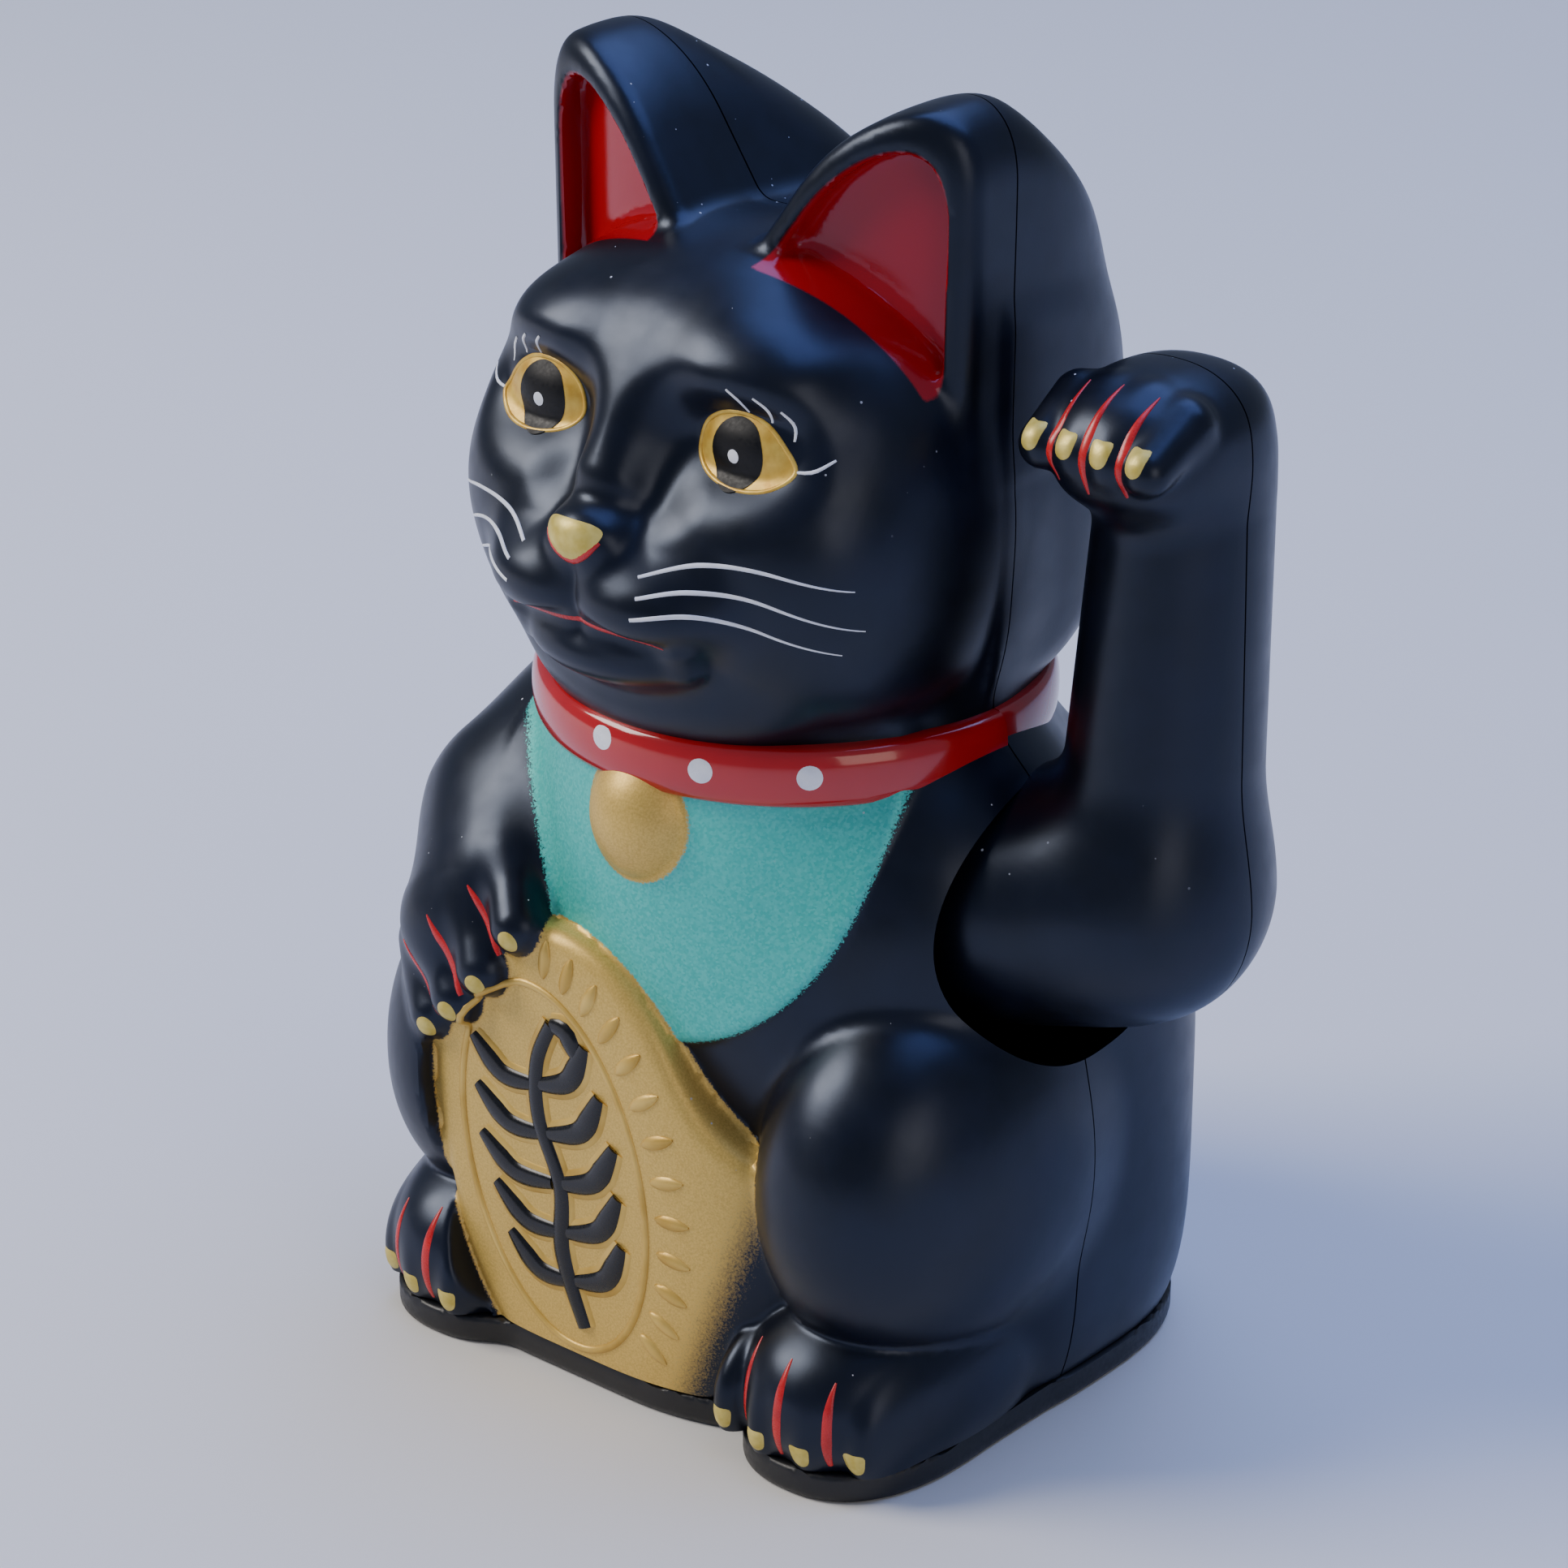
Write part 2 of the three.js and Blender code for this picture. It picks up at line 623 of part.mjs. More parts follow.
boardPosts.forEach((place, i) => piece(`board_screw_${i + 1}`, screw(place, 0.6, boardTop - 0.6 - gap), steel));

// ---------------------------------------------------------------- wires
function cable(points) {
  return wire(new THREE.CatmullRomCurve3(points.map((p) => new THREE.Vector3(...p))), 0.6, 14, 6);
}
const tabTop = tubInner.top + tubWall + 2;
const tabX = tubInner.x - gap - contactThickness;
const boardPin = boardTop + gap + 0.6;
piece(
  "wire_red",
  cable([
    [tabX - 0.9, cellY, tabTop],
    [tabX - 3, cellY - 6, tabTop + 2],
    [27, -2, 18],
    [20, -14, 17],
    [15, boardPosts[0][1] + 6, boardPin + 0.4],
  ]),
  redWire,
);
const switchTop = frameFloor + switchSize.high + gap + 0.6;
piece(
  "wire_black",
  cable([
    [-tabX + 0.9, cellY, tabTop],
    [-tabX, cellY - 7, tabTop + 2],
    [switchPlace.x, switchPlace.y + 4, switchTop],
    [switchPlace.x + 4, switchPlace.y - 8, switchTop + 1],
    [-15, boardPosts[0][1] + 6, boardPin + 0.4],
  ]),
  blackWire,
);

// ---------------------------------------------------------------- swinging arm
function armForm(margin) {
  const shoulder = [shoulderRadius + 2, shoulderRadius, shoulderRadius].map((r) => r - margin);
  const relative = [
    [0.35, elbowZ - 16 + margin],
    [0.9, elbowZ - 9],
    [1.1, elbowZ + 4],
    [1, elbowZ + 22],
    [0.97, elbowZ + 44],
    [1.05, pawTop - 22],
    [0.92, pawTop - 9],
    [0.35, pawTop - margin],
  ];
  const sides = margin ? 12 : 20;
  const across = forearmRadiusX - margin;
  const forearm = turnedForm(relative, margin ? 8 : 12, across, forearmRadiusY - margin, 2.2, sides);
  const point = forearm.attributes.position;
  for (let i = 0; i < point.count; i++) {
    const bend = THREE.MathUtils.smoothstep(point.getZ(i), pawTop - 50, pawTop - 20);
    point.setY(i, point.getY(i) * (1 + 0.18 * bend) - pawForward * bend);
  }
  forearm.translate(forearmX, forearmY, 0);
  const round = margin ? [12, 8] : [18, 10];
  const rootSide = box([armRoot + margin, -huge, -huge], [huge, huge, huge]);
  return join([solid(eggForm([shoulderX, pivotY, pivotZ], shoulder, 2, 2, round)), solid(forearm)]).intersect(rootSide);
}
const axleEnd = shoulderX + 14;
const armBoss = bar("x", 4, armRoot, axleEnd, [0, pivotY, pivotZ], 16);
const armBore = bar("x", axleRadius + pressGap, 0, axleEnd - 2, [0, pivotY, pivotZ], 16);
const armShell = armForm(0).subtract(armForm(armWall)).add(armBoss.intersect(armForm(0))).subtract(armBore);
const armFront = box([-huge, -huge, -huge], [huge, forearmY - gap / 2, huge]);
const armRear = box([-huge, forearmY + gap / 2, -huge], [huge, huge, huge]);
piece("arm_front_shell", armShell.intersect(armFront), satinBlack);
piece("arm_rear_shell", armShell.intersect(armRear), satinBlack);

// ---------------------------------------------------------------- axle and pendulum
piece("arm_axle", bar("x", axleRadius, axleInner, axleEnd - 2 - gap, [0, pivotY, pivotZ], 16), steel);
bearingX.forEach((x, i) => {
  const side = Math.sign(x);
  const near = x + side * (bearingWidth / 2 + gap);
  const ends = [near, near + side * 1.6].sort((a, b) => a - b);
  const ringBody = bar("x", 3.2, ...ends, [0, pivotY, pivotZ], 16);
  const bore = bar("x", axleRadius + pressGap, -huge, huge, [0, pivotY, pivotZ], 16);
  piece(`axle_ring_${i + 1}`, ringBody.subtract(bore), darkPlastic);
});

const cupTop = magnetZ + magnetThickness / 2 + gap;
const leverHalf = { x: 1.6, y: 4 };
const weightY = pivotY - weightForward;
const lever = join([
  bar("x", 5, -7, 7, [0, pivotY, pivotZ], 16),
  box([-leverHalf.x, pivotY - leverHalf.y, cupTop], [leverHalf.x, pivotY + leverHalf.y, pivotZ]),
  bar("z", magnetRadius + 1.4, magnetZ - magnetThickness / 2 + 1, cupTop + 1.6, [pendulumX, pivotY, 0], 24),
]);
const magnetRoom = bar("z", magnetRadius + pressGap, 0, cupTop, [pendulumX, pivotY, 0], 24);
const leverBore = bar("x", axleRadius + pressGap, -huge, huge, [0, pivotY, pivotZ], 16);
piece("pendulum_lever", cutAll(lever, [magnetRoom, leverBore]), whitePlastic);
const magnet = bar("z", magnetRadius, magnetZ - magnetThickness / 2, magnetZ + magnetThickness / 2, [0, pivotY, 0], 24);
piece("pendulum_magnet", magnet, magnetGrey);
const weightBody = box(
  [-weightSize.x / 2, weightY - weightSize.y / 2, weightZ - weightSize.z / 2],
  [weightSize.x / 2, weightY + weightSize.y / 2, weightZ + weightSize.z / 2],
);
const leverRoom = box(
  [-leverHalf.x - 0.1, pivotY - leverHalf.y - 0.1, 0],
  [leverHalf.x + 0.1, pivotY + leverHalf.y + 0.1, huge],
);
piece("counterweight", weightBody.subtract(leverRoom), steel);

export default group;
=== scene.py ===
# %% [markdown]
# # A beckoning cat figurine
# The real thing is a hollow moulded figure, about 200 mm tall, sprayed satin black and painted by
# hand. A small coil in the base keeps the raised arm nodding. The working model is loaded first and
# stays as the fixed frame. Everything made here is in metres and sits where that frame says.

# %% Load the working model
import math

import bpy
import bmesh
import numpy as np
import openvdb
from mathutils import Matrix, Vector
from mathutils.bvhtree import BVHTree


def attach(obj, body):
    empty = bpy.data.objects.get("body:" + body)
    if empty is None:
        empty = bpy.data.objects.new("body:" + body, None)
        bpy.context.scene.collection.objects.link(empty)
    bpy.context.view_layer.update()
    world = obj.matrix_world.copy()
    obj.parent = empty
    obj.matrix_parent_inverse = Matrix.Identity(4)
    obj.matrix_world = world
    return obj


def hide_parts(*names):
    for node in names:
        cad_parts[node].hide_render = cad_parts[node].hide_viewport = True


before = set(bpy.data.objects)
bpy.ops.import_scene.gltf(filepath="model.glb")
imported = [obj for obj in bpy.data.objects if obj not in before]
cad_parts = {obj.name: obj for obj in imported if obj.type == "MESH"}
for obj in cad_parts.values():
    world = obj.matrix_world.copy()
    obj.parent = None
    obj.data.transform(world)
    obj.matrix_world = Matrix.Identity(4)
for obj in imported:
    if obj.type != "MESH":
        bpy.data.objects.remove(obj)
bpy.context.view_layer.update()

MM = 0.001
seam_gap = 0.3
wall = 2.0
arm_wall = 1.6
base_top = 5.0
arm_seam = 9.5

# %% [markdown]
# ## Camera
# A long lens a little above the figure, turned to its left side, keeps the upright edges nearly
# parallel. The camera is set first, so that each later step can be looked at.

# %% Place the camera
view_turn, view_height = math.radians(40.3), math.radians(24.0)
camera_place = Vector((0.4387, -0.5206, 0.3910))
lens_mm, film_mm = 113.68, 36.0

back = Vector((math.sin(view_turn) * math.cos(view_height),
               -math.cos(view_turn) * math.cos(view_height), math.sin(view_height)))
right = Vector((math.cos(view_turn), math.sin(view_turn), 0))
up = back.cross(right)
camera_data = bpy.data.cameras.new("camera")
camera_data.lens, camera_data.sensor_width = lens_mm, film_mm
camera = bpy.data.objects.new("camera", camera_data)
turn = Matrix((right, up, back)).transposed().to_4x4()
camera.matrix_world = Matrix.Translation(camera_place) @ turn
bpy.context.scene.collection.objects.link(camera)
bpy.context.scene.camera = camera

# %% [markdown]
# ## Shaping by blended masses
# A sculptor builds a soft figure from balls and rolls of clay and smooths them together. The same
# is done here with distances: each mass is a formula that says how far a point is from its surface.
# `blend` joins two masses with a fillet, `carve` cuts one out and `both` keeps what they share. A
# subdivided cage could give the same body, but it can't hold the sharp fold beside the nose and
# the flat cup of an ear as well as the soft cheeks. All sizes in this part are in millimetres.

# %% Distance to a rounded mass
def length(*parts):
    return np.sqrt(sum(part * part for part in parts))


def egg(at, centre, radii, power=2.0, turn=0.0):
    """An egg with three radii; a power above 2 squares it up, turn is about the upright axis."""
    x, y, z = (at[i] - centre[i] for i in range(3))
    if turn:
        c, s = math.cos(math.radians(turn)), math.sin(math.radians(turn))
        x, y = c * x + s * y, -s * x + c * y
    x, y, z = (np.abs(v / r) + 1e-6 for v, r in zip((x, y, z), radii))
    size = (x ** power + y ** power + z ** power) ** (1 / power)
    steps = ((v / size) ** (power - 1) / r for v, r in zip((x, y, z), radii))
    return ((size - 1) / length(*steps)).astype(np.float32)


def barrel(at, centre, radii, plan, upright):
    """An egg whose plan and whose side view are squared up by different powers."""
    x, y, z = (np.abs(at[i] - centre[i]) / radii[i] + 1e-6 for i in range(3))
    ring = (x ** plan + y ** plan) ** (1 / plan)
    size = (ring ** upright + z ** upright) ** (1 / upright)
    slope = (ring / size) ** (upright - 1)
    steps = (slope * (x / ring) ** (plan - 1) / radii[0],
             slope * (y / ring) ** (plan - 1) / radii[1],
             (z / size) ** (upright - 1) / radii[2])
    return ((size - 1) / length(*steps)).astype(np.float32)


def limb(at, start, end, start_radius, end_radius):
    """A roll with round ends between two points."""
    along = np.subtract(end, start).astype(float)
    x, y, z = (at[i] - start[i] for i in range(3))
    share = np.clip((x * along[0] + y * along[1] + z * along[2]) / (along @ along), 0, 1)
    off = length(x - share * along[0], y - share * along[1], z - share * along[2])
    return (off - start_radius - (end_radius - start_radius) * share).astype(np.float32)


# %% Join, cut and share masses
def blend(a, b, fillet):
    near = np.maximum(fillet - np.abs(a - b), 0) / fillet
    return np.minimum(a, b) - near * near * fillet * 0.25


def carve(a, b, fillet):
    return -blend(-a, b, fillet)


def both(a, b, fillet):
    return -blend(-a, -b, fillet)


def ramp(low, high, value):
    share = np.clip((value - low) / (high - low), 0, 1)
    return share * share * (3 - 2 * share)


# %% [markdown]
# ## Head and ears
# From behind, the head and both ears are one upright slab with flat sides, and from the front the
# ears are cups cut into that slab. The face is a wide skull with cheeks, deep eye sockets, a long
# nose bridge and a full muzzle. The figure is the same left and right, so the shape is made for
# one side and read with the width taken as positive.

# %% Slab of the head and the ears
def smooth_table(places, values, reach=9.0, step=0.5):
    """A table read with straight lines between its entries, then rounded off over the reach."""
    fine = np.arange(min(places) - reach, max(places) + reach, step)
    window = np.hanning(int(2 * reach / step) + 1)
    padded = np.pad(np.interp(fine, places, values), len(window) // 2, mode="edge")
    return fine, np.convolve(padded, window / window.sum(), "valid")


slab_heights = [104, 108, 114, 124, 138, 152, 160, 174, 184, 194.8, 201]
slab_depths = [31, 34, 38, 41.5, 43, 42.5, 41, 34.6, 30.5, 17, 7]
slab_width_at = [104, 110, 120, 140, 156, 185, 200]
slab_widths = [34.5, 36.3, 37.8, 39, 38.8, 39.3, 39.3]
ear_crest_at = [-20, -15.7, -8, 0, 8, 16, 26, 33, 45]
ear_crest = [198.6, 200.2, 201.6, 201.6, 199.2, 194.4, 186, 180, 167]
depth_table = smooth_table(slab_heights, slab_depths)
width_table = smooth_table(slab_width_at, slab_widths)
crest_table = smooth_table(ear_crest_at, ear_crest, 5.0)


def head_slab(at, square=3.6):
    x, y, z = np.abs(at[0]), np.maximum(at[1], 0), at[2]
    deep = np.interp(z, *depth_table).astype(np.float32)
    wide = np.interp(z, *width_table).astype(np.float32)
    size = ((x / wide) ** square + (y / deep) ** square) ** (1 / square) + 1e-6
    slope = length((x / wide / size) ** (square - 1) / wide,
                   (y / deep / size) ** (square - 1) / deep)
    return (size - 1) / (slope + 1e-6)


def ear_arch(side):
    x, y, z = side
    inner_edge = (x - 5.2) * -0.823 + (z - 176) * 0.568
    crest = (z - np.interp(y, *crest_table)) * 0.92
    return both(both(head_slab(side), crest, 11), inner_edge, 11)


def ear_front(x):
    return -18.5 + 0.10 * (x - 8.8) + 0.0058 * (x - 8.8) ** 2


def ear_cup(side):
    floor = (side[1] - ear_front(side[0]) - 4.8) * 0.95
    cup = both(ear_arch(side) + 3.6, floor, 1.6)
    return both(cup, ear_front(side[0]) - 3 - side[1], 0.1)


def ear(side):
    slab = both(ear_arch(side), ear_front(side[0]) - side[1], 3.2)
    slab = both(slab, 146 - side[2], 2)
    return carve(slab, ear_cup(side), 1.2)


# %% Skull, face and eyeballs
eye_ball = ((17.8, -23.4, 154.8), (12.0, 11.9, 8.4), 2.2)


def head(at):
    side = (np.abs(at[0]), at[1], at[2])
    shape = barrel(side, (0, -10, 142), (40.2, 32.4, 37.2), 2.3, 2.2)
    rear = both(head_slab(side), egg(side, (0, 2, 141.5), (75, 45, 36.5), 2.3), 8)
    shape = blend(shape, both(rear, -1 - at[1], 1), 1.5)
    shape = blend(shape, barrel(side, (0, -4, 133), (38.8, 26, 27), 2.6, 3), 5)
    shape = blend(shape, egg(side, (17.5, -19.5, 129.5), (16, 16.5, 16.5)), 12)
    shape = blend(shape, egg(side, (16, -27.5, 164), (10, 8.0, 6)), 8)
    shape = carve(shape, egg(side, (18.3, -45.3, 154.6), (16.5, 14.6, 9.2), 2, turn=12), 6)
    shape = carve(shape, limb(side, (8.6, -43.5, 164), (9.4, -42.6, 150), 3.0, 4.8), 6)
    shape = blend(shape, egg(side, (18, -27.4, 141), (14, 10, 10)), 12)
    shape = blend(shape, limb(side, (0, -26.5, 165), (0, -40.4, 149), 5.2, 4.2), 6)
    shape = blend(shape, egg(side, (0, -45.0, 142.0), (6.2, 5.4, 4.4)), 3)
    shape = blend(shape, egg(side, (7.6, -39.4, 133.2), (13.6, 11.2, 7.6)), 5.5)
    shape = blend(shape, egg(side, (0, -27.5, 116), (23, 12.5, 11)), 6)
    shape = blend(shape, egg(side, (0, -38.4, 124), (15.4, 10.4, 5.8)), 4)
    shape = carve(shape, limb(side, (0, -51.6, 136.5), (0, -50.8, 130), 1.0, 1.2), 1.6)
    shape = carve(shape, limb(side, (0, -50.6, 129.2), (14.5, -46.8, 127.0), 1.5, 1.2), 1.4)
    shape = blend(shape, limb(side, (14.8, -43.0, 127.4), (14.4, -41.6, 123.8), 1.9, 1.5), 3)
    shape = blend(shape, egg(side, *eye_ball), 1.0)
    return blend(shape, ear(side), 2.0)


# %% [markdown]
# ## Body, legs and the folded arm
# The body is a squared-up barrel with a rounder chest on it. Thighs and feet are set in with a
# tight fillet, which leaves the dark crease that the mould has. The bib is a sheet 0.8 mm proud of
# the chest, and the bell an oval bump under the collar.

# %% Barrel, chest and neck
bib_wide, bib_tall = 34.5, 37.5
far_off = 60.0  # stands for "nowhere near" where a distance is kept


def bib_edge(at):
    """Millimetres outside the bib's outline, as seen from the front."""
    x, z = at[0] - 1.2, at[2] - 98
    size = length(x / bib_wide, z / bib_tall) + 1e-6
    slope = length(x / bib_wide ** 2, z / bib_tall ** 2) / size + 1e-6
    return np.where(at[1] < 0, (size - 1) / slope, far_off)


bell = ((0.8, -33.8, 95.2), (9.4, 8.8, 10.4))


def torso(at):
    side = (np.abs(at[0]), at[1], at[2])
    shape = blend(barrel(side, (0, 9, 38), (55, 41, 50), 3.0, 4.0),
                  egg(side, (0, 5, 76), (42, 39, 38), 2.2), 18)
    shape = blend(shape, limb(side, (0, 0, 96), (0, 0, 112), 36, 36), 6)
    shape = blend(shape, egg(side, (34, -2, 84), (17, 22, 20)), 12)
    shape = blend(shape, egg(side, (0, -8, 84), (30, 26, 30)), 10)
    return shape - 0.8 * ramp(0.7, -0.7, bib_edge(at))


# %% Legs, feet, toes and the folded arm
foot_toes = ((23.4, -35.0), (31.4, -36.6), (39.4, -35.8), (47.0, -32.5))
hand_toes = (((-26, -35, 80), (-19, -41.6, 73.6), 4.3),
             ((-31.5, -37, 74.5), (-24.8, -43, 65.4), 4.4),
             ((-37.5, -37.5, 68.5), (-30.3, -43, 59.2), 4.4),
             ((-43.3, -36, 62), (-36.6, -41.6, 54), 4.1))


def legs(at):
    side = (np.abs(at[0]), at[1], at[2])
    shape = blend(torso(at), egg(side, (37.5, -12, 43), (21, 33, 31), 2.1), 2.5)
    shape = blend(shape, egg(side, (36, -19, 12), (18, 28, 16), 2.2), 1.2)
    for x, y in foot_toes:
        shape = blend(shape, egg(side, (x, y, 9.5), (4.5, 10.8, 10.5)), 1.5)
    return shape


def folded_arm(at):
    upper = limb(at, (-31, -4, 90), (-38, -18, 79), 15, 15)
    wrist = blend(limb(at, (-38, -20, 77), (-35, -33.5, 67), 14, 12),
                  limb(at, (-31, -18, 86), (-29, -30, 75.5), 13, 12.2), 6)
    return blend(upper, wrist, 8)


# %% [markdown]
# ## The coin
# The figure holds a large oval gold coin that leans to its right. Its face is nearly flat, and its
# rim falls back towards the body in a wide flange on the left side.

# %% Coin
coin_middle, coin_radii, coin_lean = (-9.8, 34.6), (26.2, 40.0), math.radians(12.5)
coin_flange = ((0.0, 31.0), (29.5, 30.5))
coin_panel = ((-12.4, 35.6), (17.8, 29.8))
coin_front = -42.3


def coin_axes(x, z, middle):
    c, s = math.cos(coin_lean), math.sin(coin_lean)
    return (x - middle[0]) * c + (z - middle[1]) * s, (z - middle[1]) * c - (x - middle[0]) * s


def oval(at, middle, radii, power=2.3):
    across, along = coin_axes(at[0], at[2], middle)
    across, along = np.abs(across) / radii[0] + 1e-6, np.abs(along) / radii[1] + 1e-6
    size = (across ** power + along ** power) ** (1 / power)
    slope = length((across / size) ** (power - 1) / radii[0],
                   (along / size) ** (power - 1) / radii[1])
    return (size - 1) / slope


def coin_edge(at):
    """Millimetres outside the coin: its oval, and the flange, whose top is cut away on a slant."""
    slant = (at[0] - 20) * 0.524 + (at[2] - 47) * 0.852
    return blend(oval(at, coin_middle, coin_radii), both(oval(at, *coin_flange), slant, 4), 6)


def coin(at):
    out = np.maximum(oval(at, *coin_panel, 2.0) - 2, 0)
    return both(both(coin_edge(at), coin_front + 0.018 * out ** 2 - at[1], 2.5), at[1] + 25, 1)


# %% The whole seated cat
def cat(at):
    in_front = both(oval(at, coin_middle, coin_radii), at[1] + 40.5, 1)
    body = blend(carve(legs(at), in_front, 1), folded_arm(at), 4)
    body = blend(body, egg(at, *bell), 1.0)
    body = blend(body, coin(at), 1.2)
    for start, end, radius in hand_toes:
        body = blend(body, limb(at, start, end, radius + 0.5, radius), 2.0)
    return blend(head(at), body, 2)


# %% [markdown]
# ## The beckoning arm
# The arm hangs on an axle through the shoulder and is a separate moulding. It leaves the body
# through a round hole, so its root is a ball.

# %% Raised arm
paw_toes = [51.2 + 5.9 * i for i in range(4)]


def arm(at):
    x, y, z = at
    shape = both(egg(at, (41, 2, 81.5), (20, 19.5, 19)), 27 - x, 0.5)
    narrow = 0.86
    elbow, wrist = (60 / narrow, 9, 87), (61.3 / narrow, 11.5, 146)
    fore = limb((x / narrow, y, z), elbow, wrist, 16.8, 14) * 0.9
    shape = blend(shape, blend(fore, egg(at, (59.5, 8, 84.5), (14.8, 18, 17.2)), 10), 10)
    shape = blend(shape, egg(at, (60.3, 6.5, 156), (13.2, 17.5, 10.6), 2.3), 5)
    for i, toe in enumerate(paw_toes):
        high = 161.8 - abs(i - 1.5) * 0.5
        shape = blend(shape, limb(at, (toe, 0, high), (toe, -8.3, 156.8), 4.2, 3.6), 1.5)
    return shape


# %% [markdown]
# ## From formulas to meshes
# The distances are worked out on a grid of points, and openvdb, which comes with Blender, lays
# even four-sided faces where they pass zero. Each vertex is then pushed along the slope until
# it lies on the true surface, because a gloss finish shows every wobble. Faces over fine features
# are split once more first, so that the folds of the face are sharp and the plain back stays light.

# %% Mesh a formula
def slope_at(shape, points, step=0.05):
    columns = []
    for axis in range(3):
        shift = np.zeros(3)
        shift[axis] = step
        ahead, behind = points + shift, points - shift
        columns.append((shape(tuple(ahead.T)) - shape(tuple(behind.T))) / (2 * step))
    return np.stack(columns, 1)


def settle(shape, points, rounds=3, reach=0.8):
    for _ in range(rounds):
        slope = slope_at(shape, points)
        move = shape(tuple(points.T)) / np.maximum((slope ** 2).sum(1), 0.05)
        move = slope * move[:, None]
        far = np.linalg.norm(move, axis=1)[:, None]
        points = points - move * np.minimum(1, reach / np.maximum(far, 1e-9))
    return points


def surface(shape, low, high, pitch):
    axes = [np.arange(a, b, pitch, dtype=np.float32) for a, b in zip(low, high)]
    grid_points = np.meshgrid(*axes, indexing="ij", sparse=True)
    values = np.zeros([len(a) for a in axes], np.float32)
    values[:] = shape(tuple(grid_points))
    grid = openvdb.FloatGrid()
    grid.copyFromArray(values)
    points, quads = grid.convertToQuads(0.0)
    return points * pitch + np.array(low), quads


# %% Put a mesh in the scene
def add_mesh(name, points, faces):
    mesh = bpy.data.meshes.new(name)
    mesh.from_pydata(points * MM, [], faces.tolist() if hasattr(faces, "tolist") else faces)
    mesh.update()
    piece = bpy.data.objects.new(name, mesh)
    bpy.context.scene.collection.objects.link(piece)
    return piece


def corners(piece):
    flat = np.zeros(len(piece.data.vertices) * 3)
    piece.data.vertices.foreach_get("co", flat)
    return flat.reshape(-1, 3) / MM


def refine(piece, shape, zones):
    """Splits the faces inside the zones once and settles the new corners."""
    bm = bmesh.new()
    bm.from_mesh(piece.data)
    wanted = set()
    for face in bm.faces:
        middle = face.calc_center_median() / MM
        if any(all(a <= v <= b for a, v, b in zip(low, middle, high)) for low, high in zones):
            wanted.update(face.edges)
    bmesh.ops.subdivide_edges(bm, edges=list(wanted), cuts=1, use_grid_fill=True)
    bmesh.ops.triangulate(bm, faces=[f for f in bm.faces if len(f.verts) > 4])
    bm.to_mesh(piece.data)
    bm.free()
    points = settle(shape, corners(piece), rounds=2, reach=0.3)
    piece.data.vertices.foreach_set("co", (points * MM).astype(np.float32).ravel())
    piece.data.update()


# %% [markdown]
# Two shells are made and kept whole for now: one of the seated cat and one of the arm.
# The fine zones are the face, the folded hand and the feet.

# %% Outer skins
skin_pitch = 0.95
fine_zones = [((-31, -60, 120), (31, -28, 168)), ((-50, -60, 50), (-18, -34, 84)),
              ((18, -60, 4), (52, -30, 24)), ((-52, -60, 4), (-18, -30, 24))]
points, faces = surface(cat, (-62, -54, 2), (62, 48, 205), skin_pitch)
cat_skin = add_mesh("cat_skin", settle(cat, points), faces)
refine(cat_skin, cat, fine_zones)
points, faces = surface(arm, (25, -20, 56), (78, 34, 172), 0.8)
arm_skin = add_mesh("arm_skin", settle(arm, points), faces)
for piece in (cat_skin, arm_skin):
    print(piece.name, len(piece.data.vertices), "corners")


# %% Skin trees, to lay paint on
def tree_of(piece):
    bm = bmesh.new()
    bm.from_mesh(piece.data)
    tree = BVHTree.FromBMesh(bm)
    bm.free()
    return tree


cat_tree, arm_tree = tree_of(cat_skin), tree_of(arm_skin)

# %% [markdown]
# ## Hollow shells, parted at the mould line
# The real mouldings are shells about 2 mm thick, glued or screwed along a line at the widest place.
# A coarser copy of the same formula, shrunk by the wall, is the hollow. Boxes cut the
# parts, which leaves the hairline gap of the real seam.

# %% Cutting tools
def box(name, low, high):
    bm = bmesh.new()
    size = [(b - a) * MM for a, b in zip(low, high)]
    middle = [(b + a) / 2 * MM for a, b in zip(low, high)]
    bmesh.ops.create_cube(bm, size=1,
                          matrix=Matrix.Translation(middle) @ Matrix.Diagonal((*size, 1)))
    return from_bmesh(name, bm)


def from_bmesh(name, bm):
    mesh = bpy.data.meshes.new(name)
    bm.to_mesh(mesh)
    bm.free()
    piece = bpy.data.objects.new(name, mesh)
    bpy.context.scene.collection.objects.link(piece)
    return piece


def cut(piece, tool, keep="DIFFERENCE"):
    step = piece.modifiers.new("cut", "BOOLEAN")
    step.object, step.operation, step.solver = tool, keep, "MANIFOLD"
    bpy.context.view_layer.update()
    graph = bpy.context.evaluated_depsgraph_get()
    shaped = bpy.data.meshes.new_from_object(piece.evaluated_get(graph))
    piece.modifiers.clear()
    piece.data = shaped


weld_reach, sliver = 0.02, 0.01


def shade_smooth(piece, sharp_degrees):
    for polygon in piece.data.polygons:
        polygon.use_smooth = True
    piece.data.set_sharp_from_angle(angle=math.radians(sharp_degrees))


def part_of(skin, name, tools):
    piece = bpy.data.objects.new(name, skin.data.copy())
    bpy.context.scene.collection.objects.link(piece)
    for tool, keep in tools:
        cut(piece, tool, keep)
    bm = bmesh.new()
    bm.from_mesh(piece.data)
    bmesh.ops.remove_doubles(bm, verts=bm.verts, dist=weld_reach * MM)
    bmesh.ops.dissolve_degenerate(bm, edges=bm.edges, dist=sliver * MM)
    bm.to_mesh(piece.data)
    bm.free()
    return piece


# %% Hollows and the hole for the arm
def shrunk(shape, thickness):
    return lambda at: both(shape(at) + thickness, base_top - 3 - at[2], 1)


